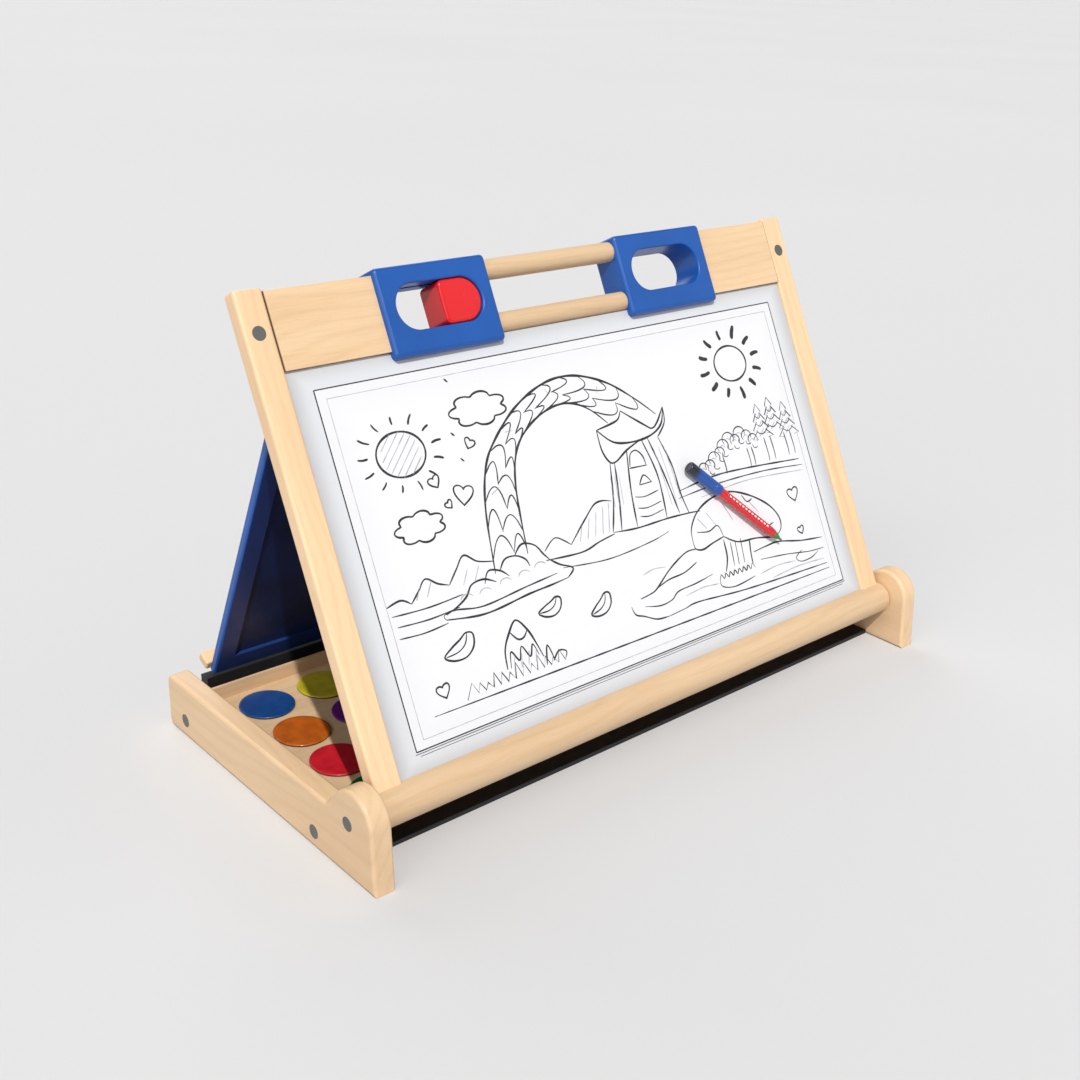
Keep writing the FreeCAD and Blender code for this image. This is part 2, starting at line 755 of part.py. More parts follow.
# ------------------------------------------------------------------ all nodes
def base_nodes():
    """Pieces that stand still."""
    rail = side_rail()
    rail_screws = screw_pair(front_cross_y, front_screw_z, rail_shank_radius, rail_screw_length)
    rail_screws += screw_pair(rear_cross_y, rear_screw_z, rail_shank_radius, rail_screw_length)
    pivots = screw_pair(pivot_y, pivot_z, pivot_shank_radius, pivot_screw_length)
    nodes = {
        "right_side_rail": rail,
        "left_side_rail": mirrored(rail),
        "front_cross_rail": cross_rail(front_cross_y, front_screw_z),
        "rear_cross_rail": cross_rail(rear_cross_y, rear_screw_z),
        "base_board": base_board(),
        "rear_stop_board": rear_stop_board(),
        "palette_board": palette_board(),
        "palette_rear_wall": palette_rear_wall(),
        "rail_screws": Part.makeCompound(rail_screws),
        "pivot_screws": Part.makeCompound(pivots),
    }
    for index, colour in enumerate(disc_colours):
        nodes["paint_disc_" + colour] = paint_disc(index)
    return nodes


def panel_nodes():
    """Pieces of the drawing panel."""
    right_stile = stile()
    right_rail = top_rail()
    screw = stile_screw()
    nodes = {
        "bottom_dowel": bottom_dowel(),
        "right_stile": right_stile,
        "left_stile": mirrored(right_stile),
        "right_top_rail": right_rail,
        "left_top_rail": mirrored(right_rail),
        "whiteboard": whiteboard(),
        "hinge_rail": hinge_rail(),
        "right_sleeve": sleeve(),
        "left_sleeve": left_sleeve(),
        "slide_latch": slide_latch(),
        "upper_handle_bar": handle_bar(upper_handle_z),
        "lower_handle_bar": handle_bar(lower_handle_z),
        "stile_screws": Part.makeCompound([screw, mirrored(screw)]),
        "right_hinge_front_leaf": front_leaf(hinge_x),
        "left_hinge_front_leaf": front_leaf(-hinge_x),
        "right_hinge_pin": hinge_pin(hinge_x),
        "left_hinge_pin": hinge_pin(-hinge_x),
        "front_hinge_screws": Part.makeCompound(front_hinge_screws()),
    }
    return {name: lean_back(shape) for name, shape in nodes.items()}


def back_nodes():
    """Pieces of the chalkboard panel."""
    nodes = {
        "back_frame": back_frame(),
        "chalkboard": chalkboard(),
        "chalk_ledge": chalk_ledge(),
        "right_hinge_back_leaf": back_leaf(hinge_x),
        "left_hinge_back_leaf": back_leaf(-hinge_x),
        "back_hinge_screws": Part.makeCompound(back_hinge_screws()),
    }
    return {name: lean_forward(shape) for name, shape in nodes.items()}


def pen_nodes():
    """Pieces of the magnetic pen on the board."""
    nodes = {
        "pen_cap": pen_cap(),
        "pen_magnet": pen_magnet(),
        "pen_barrel": pen_barrel(),
        "pen_nib": pen_nib(),
    }
    return {name: on_board(shape) for name, shape in nodes.items()}


def export_all():
    """Move the easel so that the origin is under the middle of its box, and write every node."""
    nodes = {}
    for group in (base_nodes(), panel_nodes(), back_nodes(), pen_nodes()):
        nodes.update(group)
    boxes = [shape.BoundBox for shape in nodes.values()]
    middle_y = (min(b.YMin for b in boxes) + max(b.YMax for b in boxes)) / 2
    for name, shape in nodes.items():
        shape.translate(Vector(0, -middle_y, 0))
        shape.exportStep("parts/" + name + ".step")


export_all()
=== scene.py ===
import json
import math
import random

import bmesh
import bpy
from bpy.props import FloatProperty, FloatVectorProperty, IntProperty, PointerProperty
from mathutils import Matrix, Vector


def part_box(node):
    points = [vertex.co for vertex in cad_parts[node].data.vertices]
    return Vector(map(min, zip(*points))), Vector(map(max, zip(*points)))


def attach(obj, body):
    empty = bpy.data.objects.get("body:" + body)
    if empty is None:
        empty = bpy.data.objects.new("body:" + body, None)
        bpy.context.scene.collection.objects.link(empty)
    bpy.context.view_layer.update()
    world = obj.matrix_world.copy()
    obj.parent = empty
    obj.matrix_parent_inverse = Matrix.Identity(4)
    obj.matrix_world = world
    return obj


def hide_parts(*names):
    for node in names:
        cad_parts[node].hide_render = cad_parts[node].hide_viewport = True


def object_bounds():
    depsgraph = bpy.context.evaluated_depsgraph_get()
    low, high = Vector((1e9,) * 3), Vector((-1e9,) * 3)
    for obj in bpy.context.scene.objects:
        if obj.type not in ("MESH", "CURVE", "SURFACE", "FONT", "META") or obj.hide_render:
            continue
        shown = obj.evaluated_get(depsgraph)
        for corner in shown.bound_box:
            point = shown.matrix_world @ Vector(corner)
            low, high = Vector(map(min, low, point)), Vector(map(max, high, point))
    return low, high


bl_info = {
    "name": "Tabletop easel",
    "version": (1, 0, 0),
    "blender": (4, 5, 0),
    "location": "View3D > Sidebar > Easel",
    "description": "Finishes, drawing and small pieces of a folding tabletop easel for children",
    "category": "Object",
}

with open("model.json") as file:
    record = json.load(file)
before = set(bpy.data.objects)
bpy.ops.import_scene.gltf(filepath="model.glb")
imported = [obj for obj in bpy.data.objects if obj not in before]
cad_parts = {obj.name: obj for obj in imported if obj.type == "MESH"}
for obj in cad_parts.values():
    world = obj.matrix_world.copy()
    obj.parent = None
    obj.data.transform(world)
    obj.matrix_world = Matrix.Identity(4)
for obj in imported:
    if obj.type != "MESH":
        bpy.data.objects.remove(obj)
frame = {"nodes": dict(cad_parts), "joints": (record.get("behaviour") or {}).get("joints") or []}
cad_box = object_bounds()
nodes = frame["nodes"]
joints = {joint["name"]: joint for joint in frame["joints"]}

MM = 0.001
ACROSS = Vector((1, 0, 0))
TO_REAR = Vector((0, 1, 0))
UP = Vector((0, 0, 1))

# ------------------------------------------------------------------ where things are


def placement(origin, rearward, upward):
    """Matrix from a panel's own frame, drawn upright, to the easel's frame."""
    turn = Matrix((ACROSS, rearward, upward)).transposed().to_4x4()
    return Matrix.Translation(origin) @ turn


def broad_normal(node):
    """Normal of a flat node's largest face, turned to the rear."""
    largest = max(nodes[node].data.polygons, key=lambda face: face.area)
    normal = largest.normal.copy()
    return normal if normal.y > 0 else -normal


panel_out = Vector(joints["pen_lift"]["axis"]).normalized()
panel_up = panel_out.cross(ACROSS)
panel_place = placement(Vector(joints["panel_fold"]["pos_m"]), -panel_out, panel_up)

back_out = broad_normal("chalkboard")
back_up = ACROSS.cross(back_out)
back_place = placement(Vector(joints["chalkboard_fold"]["pos_m"]), back_out, back_up)


def extent(node, place):
    """Lowest and highest corner of a CAD node in a panel's own frame."""
    inverse = place.inverted()
    points = [inverse @ vertex.co for vertex in nodes[node].data.vertices]
    low = Vector([min(point[axis] for point in points) for axis in range(3)])
    high = Vector([max(point[axis] for point in points) for axis in range(3)])
    return low, high


def middle(node):
    """Middle of a CAD node's box."""
    low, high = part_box(node)
    return (low + high) / 2


# ------------------------------------------------------------------ settings


class EaselSizes(bpy.types.PropertyGroup):
    """Sizes that a user may change."""

    ink_height: FloatProperty(
        name="Ink height", description="How far the drawn lines stand proud of the board",
        default=0.07 * MM, unit="LENGTH")
    ink_width: FloatProperty(
        name="Ink width", description="Width of a plain drawn line", default=1.5 * MM, unit="LENGTH")
    ring_pitch: FloatProperty(
        name="Ring pitch", description="Distance between growth rings in the wood",
        default=7.0 * MM, unit="LENGTH")
    floor_radius: FloatProperty(
        name="Floor radius", description="Radius of the floor", default=40.0, unit="LENGTH")
    lens: FloatProperty(
        name="Lens", description="Focal length of the camera", default=45.79, unit="CAMERA")
    seed: IntProperty(
        name="Seed", description="Start of the random differences between pieces", default=11)


def colour(name, description, value):
    """Colour property with a description."""
    return FloatVectorProperty(
        name=name, description=description, subtype="COLOR", size=4, min=0, max=1, default=(*value, 1))


class EaselColours(bpy.types.PropertyGroup):
    """Colours that a user may change."""

    wood_light: colour("Light wood", "Pale early wood", (0.84, 0.605, 0.375))
    wood_dark: colour("Dark wood", "Darker late wood and flecks", (0.63, 0.385, 0.20))
    blue: colour("Blue plastic", "Sleeves and chalkboard frame", (0.005, 0.082, 0.36))
    navy: colour("Navy", "Inner face of the chalkboard", (0.008, 0.022, 0.10))
    red: colour("Red plastic", "Sliding latch", (0.66, 0.009, 0.013))
    board_inside: colour("Board", "Drawing area of the whiteboard", (0.79, 0.79, 0.815))
    board_outside: colour("Board edge", "Whiteboard outside the drawn border", (0.66, 0.67, 0.70))
    ink: colour("Ink", "Drawn lines", (0.022, 0.022, 0.026))
    pale_ink: colour("Pale ink", "Faint shading lines", (0.36, 0.36, 0.42))
    black_board: colour("Black board", "Base board and rear stop", (0.012, 0.012, 0.014))
    slate: colour("Slate", "Chalkboard face", (0.022, 0.025, 0.027))
    screw: colour("Screws", "Dull grey screw heads", (0.15, 0.15, 0.145))
    steel: colour("Steel", "Plated hinges", (0.55, 0.55, 0.54))


# The cakes of paint, by the last part of each node's name.
PAINTS = {
    "green": (0.008, 0.14, 0.03),
    "red": (0.52, 0.012, 0.022),
    "orange": (0.46, 0.10, 0.008),
    "blue": (0.006, 0.055, 0.22),
    "brown": (0.12, 0.05, 0.02),
    "sky_blue": (0.05, 0.26, 0.55),
    "purple": (0.14, 0.012, 0.22),
    "yellow": (0.50, 0.43, 0.02),
    "black": (0.015, 0.015, 0.016),
    "turquoise": (0.02, 0.30, 0.28),
    "pink": (0.62, 0.16, 0.28),
    "white": (0.72, 0.72, 0.70),
}

# ------------------------------------------------------------------ materials


class Wire:
    """A socket that takes part in sums, adding the Math nodes that they need."""

    def __init__(self, graph, socket):
        self.graph = graph
        self.socket = socket

    def maths(self, operation, *others):
        """Math node with this wire first."""
        return self.graph.add("ShaderNodeMath", {"operation": operation}, [self, *others])

    def __add__(self, other):
        return self.maths("ADD", other)

    def __radd__(self, other):
        return self.maths("ADD", other)

    def __sub__(self, other):
        return self.maths("SUBTRACT", other)

    def __rsub__(self, other):
        return self.graph.add("ShaderNodeMath", {"operation": "SUBTRACT"}, [other, self])

    def __mul__(self, other):
        return self.maths("MULTIPLY", other)

    def __rmul__(self, other):
        return self.maths("MULTIPLY", other)

    def __pow__(self, other):
        return self.maths("POWER", other)

    def __abs__(self):
        return self.maths("ABSOLUTE")

    def sine(self):
        """Sine of an angle in radians."""
        return self.maths("SINE")

    def most(self, other):
        """The larger of the two."""
        return self.maths("MAXIMUM", other)

    def ease(self, start, end):
        """0 below start, 1 above end, smooth between them."""
        settings = {"interpolation_type": "SMOOTHSTEP"}
        sockets = {"Value": self, "From Min": start, "From Max": end}
        return self.graph.add("ShaderNodeMapRange", settings, sockets)


class Graph:
    """Node tree of a material or of the surround."""

    def __init__(self, tree):
        self.tree = tree

    def add(self, kind, settings=None, sockets=None, out=0):
        """Add a node: its settings first, then its sockets' values or links."""
        node = self.tree.nodes.new(kind)
        for key, value in (settings or {}).items():
            setattr(node, key, value)
        pairs = sockets.items() if isinstance(sockets, dict) else enumerate(sockets or [])
        for key, value in pairs:
            self.plug(node.inputs[key], value)
        return Wire(self, node.outputs[out])

    def plug(self, socket, value):
        """Link a wire to a socket, or set the socket's value."""
        if isinstance(value, Wire):
            self.tree.links.new(value.socket, socket)
        else:
            socket.default_value = value


class Finish(Graph):
    """One material: its shader and what feeds it."""

    def __init__(self, name, fixed=None):
        self.material = bpy.data.materials.new(name)
        self.material.use_nodes = True
        super().__init__(self.material.node_tree)
        self.shader = self.tree.nodes["Principled BSDF"]
        for socket, value in (fixed or {}).items():
            self.plug(self.shader.inputs[socket], value)

    def feed(self, **wires):
        """Feed the shader: base_color=..., roughness=... and so on."""
        for key, value in wires.items():
            self.plug(self.shader.inputs[key.replace("_", " ").title()], value)

    def place(self):
        """Position on the piece, in metres."""
        return self.add("ShaderNodeTexCoord", out="Object")

    def along(self, direction, origin=None):
        """Distance along a direction, in millimetres from the origin."""
        scaled = tuple(direction.normalized() / MM)
        settings = {"operation": "DOT_PRODUCT"}
        value = self.add("ShaderNodeVectorMath", settings, [self.place(), scaled], out="Value")
        offset = (origin or Vector()).dot(direction.normalized()) / MM
        return value - offset

    def joined(self, x, y, z):
        """Vector from three numbers or wires."""
        return self.add("ShaderNodeCombineXYZ", sockets=[x, y, z])

    def noise(self, vector, scale=1.0, detail=2.0, rough=0.5):
        """Smooth noise about one half."""
        sockets = {"Vector": vector, "Scale": scale, "Detail": detail, "Roughness": rough}
        return self.add("ShaderNodeTexNoise", sockets=sockets)

    def mix(self, factor, first, second):
        """Blend two colours."""
        settings = {"data_type": "RGBA", "clamp_factor": True}
        return self.add("ShaderNodeMix", settings, {0: factor, 6: first, 7: second}, out=2)

    def bump(self, height, distance):
        """Relief whose height runs from 0 to 1 over the distance, fed to the shader."""
        sockets = {"Distance": distance, "Height": height}
        self.feed(normal=self.add("ShaderNodeBump", sockets=sockets))


def shade(value, factor):
    """Colour made darker or lighter."""
    return tuple(min(1, part * factor) for part in value[:3]) + (1,)


def wood(name, grain, face, seed, joint=None, tone=1.0):
    """Pale varnished beech. The grain and face are directions; a joint is how far out a dark seam lies."""
    colours = bpy.context.scene.easel_colours
    pick = random.Random(seed)
    finish = Finish(name, {"Coat Weight": 0.12, "Coat Roughness": 0.35, "Specular IOR Level": 0.4})
    length = finish.along(grain) + pick.uniform(-900, 900)
    side = finish.along(face)
    depth = finish.along(grain.cross(face))
    # Growth rings round a pith that lies outside the piece.
    sway = finish.noise(finish.joined(length * 0.004, side * 0.012, depth * 0.012), detail=1.5)
    pith_side = pick.uniform(35, 75) * pick.choice((-1, 1))
    pith_depth = pick.uniform(60, 120) * pick.choice((-1, 1))
    radius = ((side - pith_side) ** 2 + (depth - pith_depth) ** 2) ** 0.5 + (sway - 0.5) * 60
    turns = radius * (2 * math.pi * MM / bpy.context.scene.easel_sizes.ring_pitch)
    late = (turns.sine() * 0.5 + 0.5) ** 3
    # Fibres and short flecks along the grain, and broad patches.
    fibre = finish.noise(finish.joined(length * 0.035, side * 1.5, depth * 1.5), detail=3, rough=0.6)
    fleck = finish.noise(finish.joined(length * 0.16, side * 2.2, depth * 2.2), detail=1).ease(0.66, 0.76)
    patch = finish.noise(finish.joined(length * 0.006, side * 0.05, depth * 0.05), detail=2)
    mask = late * 0.15 + fibre.ease(0.3, 0.8) * 0.24 + patch.ease(0.3, 0.75) * 0.26 + fleck * 0.22
    warm = tone * pick.uniform(0.96, 1.03)
    light = shade(colours.wood_light, warm)
    dark = shade(colours.wood_dark, warm)
    tinted = finish.mix(mask, light, dark)
    if joint:
        seam = abs(finish.along(ACROSS)).ease(joint / MM - 0.6, joint / MM - 0.15)
        tinted = finish.mix(seam * 0.85, tinted, shade(dark, 0.12))
    finish.feed(base_color=tinted, roughness=0.36 + fibre * 0.18 + fleck * 0.1)
    finish.bump(fibre * 0.6 - fleck * 0.6 - late * 0.15, 0.06 * MM)
    return finish.material


def frame_shade_mask(finish):
    """Mask of the painted shade on the chalkboard's frame: 1 on the half that faces the whiteboard, but not
    on its outer edge.
    """
    low, high = extent("back_frame", back_place)
    depth = finish.along(back_out, back_place @ Vector((0, (low.y + high.y) / 2, 0)))
    height = finish.along(back_up, back_place @ Vector((0, 0, low.z)))
    rim = (abs(finish.along(ACROSS)) - high.x / MM).most(-1 * height)
    return (1 - rim.ease(-2.0, -1.2)) * (1 - depth.ease(-0.3, 0.3))


def plastic(name, value, rough, grain=0.03, inner=None):
    """Moulded plastic with a fine texture and handling marks. The chalkboard's frame gets a dark navy painted
    shade on its front half.
    """
    finish = Finish(name, {"Specular IOR Level": 0.5})
    place = finish.place()
    texture = finish.noise(place, 1400, 2)
    cloud = finish.noise(place, 22, 3)
    scuff = finish.noise(place, 90, 4, 0.7).ease(0.56, 0.78)
    body = finish.mix(cloud.ease(0.3, 0.7), shade(value, 0.94), shade(value, 1.06))
    # Painted shade: the frame's front half turns dark navy, while its outer edge keeps the plain blue.
    if inner:
        body = finish.mix(frame_shade_mask(finish), body, inner)
    finish.feed(base_color=body, roughness=rough + scuff * 0.12 + cloud * 0.06)
    finish.bump(texture, grain * MM)
    return finish.material


def enamel():
    """White magnetic board: whiter inside the drawn border, with painted shade making it greyer towards the
    frame.
    """
    colours = bpy.context.scene.easel_colours
    finish = Finish("white_enamel", {"Coat Weight": 0.3, "Coat Roughness": 0.12})
    x = finish.along(ACROSS)
    height = finish.along(panel_up, panel_place @ Vector((0, 0, board_middle())))
    half_width, half_height = border_size()
    edge = (abs(x) - half_width).most(abs(height) - half_height)
    cloud = finish.noise(finish.place(), 9, 3)
    outside = edge.ease(-0.6, 0.6)
    # Painted shade: greyer over the last 30 mm up to the border, and darker still in the margin out towards
    # the frame.
    shadow = edge.ease(-30, 2) * 0.3 * (0.6 + cloud * 0.8)
    rim = finish.mix(edge.ease(2, 17), colours.board_outside, shade(colours.board_outside, 0.66))
    base = finish.mix(outside, colours.board_inside, rim)
    rubbed = finish.noise(finish.joined(x * 0.02, height * 0.09, 0.0), detail=4).ease(0.5, 0.8)
    face = finish.mix(shadow + rubbed * 0.06, base, colours.board_outside)
    low, high = extent("whiteboard", panel_place)
    centre = panel_place @ Vector((0, (low.y + high.y) / 2, 0))
    front = finish.along(panel_out, centre).ease(0.2, 0.6)
    fibre = finish.noise(finish.place(), 700, 3)
    dark_fibre, pale_fibre = (0.27, 0.18, 0.11, 1), (0.36, 0.25, 0.16, 1)
    tinted = finish.mix(front, finish.mix(fibre, dark_fibre, pale_fibre), face)
    finish.feed(base_color=tinted, roughness=0.3 + cloud * 0.12 + rubbed * 0.1)
    finish.bump(finish.noise(finish.place(), 260, 2), 0.01 * MM)
    return finish.material


def ink(name, value):
    """Felt-pen ink, a little uneven."""
    finish = Finish(name, {"Roughness": 0.55})
    patch = finish.noise(finish.place(), 160, 3).ease(0.35, 0.75)
    finish.feed(base_color=finish.mix(patch, value, shade(value, 1.5)))
    return finish.material


def painted_board(name, value, rough):
    """Matt painted board with a brushed surface."""
    finish = Finish(name, {"Specular IOR Level": 0.35})
    x, y = finish.along(ACROSS), finish.along(TO_REAR)
    streak = finish.noise(finish.joined(x * 0.02, y * 0.7, 0.0), detail=3)
    dust = finish.noise(finish.place(), 60, 4, 0.7).ease(0.5, 0.85)
    finish.feed(base_color=finish.mix(dust * 0.5, value, shade(value, 2.2)), roughness=rough + streak * 0.1)
    finish.bump(streak, 0.04 * MM)
    return finish.material


def chalk_slate():
    """Chalkboard paint with the smears of wiped chalk."""
    colours = bpy.context.scene.easel_colours
    chalk_dust = (0.30, 0.31, 0.32, 1)
    finish = Finish("slate", {"Specular IOR Level": 0.3})
    x = finish.along(ACROSS)
    height = finish.along(back_up)
    bend = finish.noise(finish.joined(x * 0.006, height * 0.006, 0.0), detail=2)
    wiped = finish.joined(x * 0.011 + bend * 2, height * 0.017 - bend * 2, 0.0)
    smear = finish.noise(wiped, detail=4, rough=0.6)
    grain = finish.noise(finish.place(), 1100, 2)
    chalk = smear.ease(0.42, 0.82) * (0.6 + grain * 0.6)
    face = finish.mix(chalk * 0.22, colours.slate, chalk_dust)
    low, high = extent("chalkboard", back_place)
    depth = finish.along(back_out, back_place @ Vector((0, (low.y + high.y) / 2, 0)))
    rear = depth.ease(0.2, 0.6)
    streak = finish.noise(finish.joined(x * 0.01, height * 0.03, 0.0), detail=2).ease(0.35, 0.7)
    inner = finish.mix(streak * 0.7, colours.navy, shade(colours.navy, 0.45))
    finish.feed(base_color=finish.mix(rear, inner, face), roughness=0.36 + rear * 0.34 + grain * 0.16)
    finish.bump(grain, 0.05 * MM)
    return finish.material


def dull_metal(name, value, rough, metallic):
    """Metal with fine scratches."""
    finish = Finish(name, {"Metallic": metallic})
    scratch = finish.noise(finish.joined(finish.along(ACROSS) * 0.4, finish.along(UP) * 9, 0.0), detail=3)
    cloud = finish.noise(finish.place(), 240, 3)
    finish.feed(base_color=finish.mix(cloud, shade(value, 0.8), shade(value, 1.25)))
    finish.feed(roughness=rough + scratch * 0.18)
    finish.bump(scratch, 0.01 * MM)
    return finish.material


def paint_cake(name, value, top):
    """Glossy cake of paint with painted shade: nearly black round its foot, below its top."""
    finish = Finish(name, {"Coat Weight": 0.5, "Coat Roughness": 0.08})
    height = finish.along(UP)
    # Painted shade: below its top the cake is turned nearly black, as if its foot were in shadow.
    unshaded_share = height.ease(top / MM - 1.0, top / MM - 0.5)
    cloud = finish.noise(finish.place(), 130, 3)
    body = finish.mix(cloud.ease(0.3, 0.7), shade(value, 0.86), shade(value, 1.12))
    finish.feed(base_color=finish.mix(unshaded_share, shade(value, 0.08), body), roughness=0.3 + cloud * 0.14)
    finish.bump(finish.noise(finish.place(), 90, 2), 0.12 * MM)
    return finish.material


# ------------------------------------------------------------------ building


def dress(name, material):
    """Give a carried-over CAD node its finish."""
    mesh = nodes[name].data
    mesh.materials.clear()
    mesh.materials.append(material)


def add_piece(name, mesh, material, body):
    """Put a built mesh in the scene, riding on its body."""
    piece = bpy.data.objects.new(name, mesh)
    bpy.context.scene.collection.objects.link(piece)
    mesh.materials.append(material)
    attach(piece, body)
    return piece


def rounded_profile(corners, radius, steps=5):
    """Outline points (along, out) with each inner corner rounded."""
    points = [Vector(corners[0])]
    for before, corner, after in zip(corners, corners[1:], corners[2:]):
        before, corner, after = Vector(before), Vector(corner), Vector(after)
        reach = min(radius, (before - corner).length * 0.45, (after - corner).length * 0.45)
        start = corner + (before - corner).normalized() * reach
        end = corner + (after - corner).normalized() * reach
        for step in range(steps + 1):
            t = step / steps
            points.append(start * (1 - t) ** 2 + corner * 2 * t * (1 - t) + end * t ** 2)
    points.append(Vector(corners[-1]))
    return points


def turned(name, profile, place, segments=64):
    """Round mesh from points (along, out), with its axis on the X axis of its place."""
    on_axis = 1e-6
    mesh = bpy.data.meshes.new(name)
    shape = bmesh.new()
    rings = []
    for along, out in profile:
        if out < on_axis:
            rings.append([shape.verts.new(place @ Vector((along, 0, 0)))])
            continue
        ring = []
        for step in range(segments):
            angle = 2 * math.pi * step / segments
            spot = Vector((along, out * math.cos(angle), out * math.sin(angle)))
            ring.append(shape.verts.new(place @ spot))
        rings.append(ring)
    for first, second in zip(rings, rings[1:]):
        for step in range(segments):
            after = (step + 1) % segments
            corners = [first[step % len(first)], first[after % len(first)]]
            corners += [second[after % len(second)], second[step % len(second)]]
            unique = list(dict.fromkeys(corners))
            if len(unique) > 2:
                shape.faces.new(unique)
    bmesh.ops.recalc_face_normals(shape, faces=shape.faces)
    shape.to_mesh(mesh)
    shape.free()
    mesh.polygons.foreach_set("use_smooth", [True] * len(mesh.polygons))
    mesh.set_sharp_from_angle(angle=math.radians(40))
    return mesh


# ------------------------------------------------------------------ the drawing

# The drawing's points are in millimetres, from the middle of the board's visible lower edge.
VISIBLE_HEIGHT = 248.8 * MM
BORDER_LOW = 13.0
BORDER_HIGH = 235.3
BORDER_HALF = 205.0
LINE_FOOT = 0.02 * MM
END_WIDTH = 0.45


def drawing_base():
    """Height of the board's visible lower edge above the pivot."""
    return extent("whiteboard", panel_place)[1].z - VISIBLE_HEIGHT


def board_middle():
    """Height of the drawn border's middle above the pivot."""
    return drawing_base() + (BORDER_LOW + BORDER_HIGH) / 2 * MM


def border_size():
    """Half width and half height of the drawn border, in millimetres."""
    return BORDER_HALF, (BORDER_HIGH - BORDER_LOW) / 2


def circle_points(x, y, radius, count=28, squash=1.0, start=0.0, sweep=360.0):
    """Points round a circle or an arc of one, in millimetres."""
    steps = range(count + (sweep < 360))
    angles = [math.radians(start + sweep * step / count) for step in steps]
    return [(x + radius * math.cos(a), y + radius * squash * math.sin(a)) for a in angles]


def smooth(points, closed, step_length=1.2):
    """Curve through the points, as closely spaced points."""
    points = [Vector(point) for point in points]
    count = len(points)
    if count < 3:
        closed = False
    curve = []
    for index in range(count if closed else count - 1):
        before = points[index - 1] if closed or index else points[0]
        start = points[index]
        end = points[(index + 1) % count]
        after = points[(index + 2) % count] if closed or index + 2 < count else end
        steps = max(2, int((end - start).length / step_length))
        for step in range(steps):
            t = step / steps
            pull = (-t + 2 * t * t - t ** 3) / 2
            near = (2 - 5 * t * t + 3 * t ** 3) / 2
            far = (t + 4 * t * t - 3 * t ** 3) / 2
            beyond = (t ** 3 - t * t) / 2
            curve.append(before * pull + start * near + end * far + after * beyond)
    if not closed:
        curve.append(points[-1])
    return curve, closed


class Sketch:
    """Pen strokes that become one mesh of thin raised lines on the board."""

    def __init__(self, name, seed):
        self.name = name
        self.shape = bmesh.new()
        self.pick = random.Random(seed)
        self.base = drawing_base()
        self.face = extent("whiteboard", panel_place)[0].y

    def point(self, x, y, lift):
        """Place on the board, in the easel's frame, from millimetres."""
        return panel_place @ Vector((x * MM, self.face - lift, self.base + y * MM))

    def stroke(self, points, width=1.0, closed=False, straight=False):
        """One line: flat below, ridged above, thinner at its ends."""
        sizes = bpy.context.scene.easel_sizes
        if straight:
            curve = [Vector(point) for point in points]
        else:
            curve, closed = smooth(points, closed)
        half = width * sizes.ink_width / MM / 2
        phase = self.pick.uniform(0, 9)
        rows = []
        last = len(curve) - 1
        for index, spot in enumerate(curve):
            before = curve[index - 1] if index or closed else spot
            after = curve[(index + 1) % len(curve)] if index < last or closed else spot
            way = (after - before).normalized()
            side = Vector((-way.y, way.x))
            taper = 1.0 if closed else min(1, END_WIDTH + 3 * min(index, last - index) / max(1, last))
            reach = half * taper * (0.88 + 0.14 * math.sin(index * 0.37 + phase))
            left, right = spot + side * reach, spot - side * reach
            corners = [(left, LINE_FOOT), (spot, sizes.ink_height), (right, LINE_FOOT)]
            rows.append([self.shape.verts.new(self.point(p.x, p.y, lift)) for p, lift in corners])
        if closed:
            rows.append(rows[0])
        for first, second in zip(rows, rows[1:]):
            for step in range(3):
                after = (step + 1) % 3
                self.shape.faces.new((first[step], first[after], second[after], second[step]))
        if not closed:
            self.shape.faces.new(rows[0])
            self.shape.faces.new(rows[-1])

    def finish(self, material):
        """Make the mesh and put it on the board."""
        bmesh.ops.recalc_face_normals(self.shape, faces=self.shape.faces)
        mesh = bpy.data.meshes.new(self.name)
        self.shape.to_mesh(mesh)
        self.shape.free()
        return add_piece(self.name, mesh, material, "drawing_panel")


def draw_border(sketch, pale):
    """Ruled border: a dark outer line, a faint inner one and a tripled foot."""
    for inset, width, pen in ((0, 1.3, sketch), (7, 0.8, pale)):
        x = BORDER_HALF - inset
        low, high = BORDER_LOW + inset * 0.8, BORDER_HIGH - inset * 0.9
        corners = [(-x, low), (x, low), (x, high), (-x, high)]
        for first, second in zip(corners, corners[1:] + corners[:1]):
            pen.stroke([first, second], width, straight=True)
    for rise in (-3.0, -1.4):
        x = BORDER_HALF + 2 * rise + 4
        sketch.stroke([(-x, BORDER_LOW + rise), (x, BORDER_LOW + rise)], 0.75, straight=True)


def draw_sun(sketch, x, y, radius, rays, gap, reach, width):
    """Round sun with short rays."""
    squash = 0.78
    sketch.stroke(circle_points(x, y, radius, squash=squash), 1.1, closed=True)
    for ray in range(rays):
        angle = 2 * math.pi * (ray + 0.3) / rays
        way = Vector((math.cos(angle), math.sin(angle) * squash))
        length = reach * sketch.pick.uniform(0.75, 1.15)
        start = Vector((x, y)) + way * (radius + gap)
        bend = Vector((-way.y, way.x)) * length * 0.06
        sketch.stroke([start, start + way * length / 2 + bend, start + way * length], width)


def draw_cloud(sketch, x, y, half_width, half_height):
    """Cloud of seven lobes round an oval."""
    lobes, parts = 7, 6
    points = []
    for lobe in range(lobes):
        for part in range(parts):
            t = part / parts
            angle = 2 * math.pi * (lobe + t) / lobes
            puff = 0.86 + 0.24 * math.sin(math.pi * t)
            points.append((x + half_width * puff * math.cos(angle), y + half_height * puff * math.sin(angle)))
    sketch.stroke(points, 1.0, closed=True)


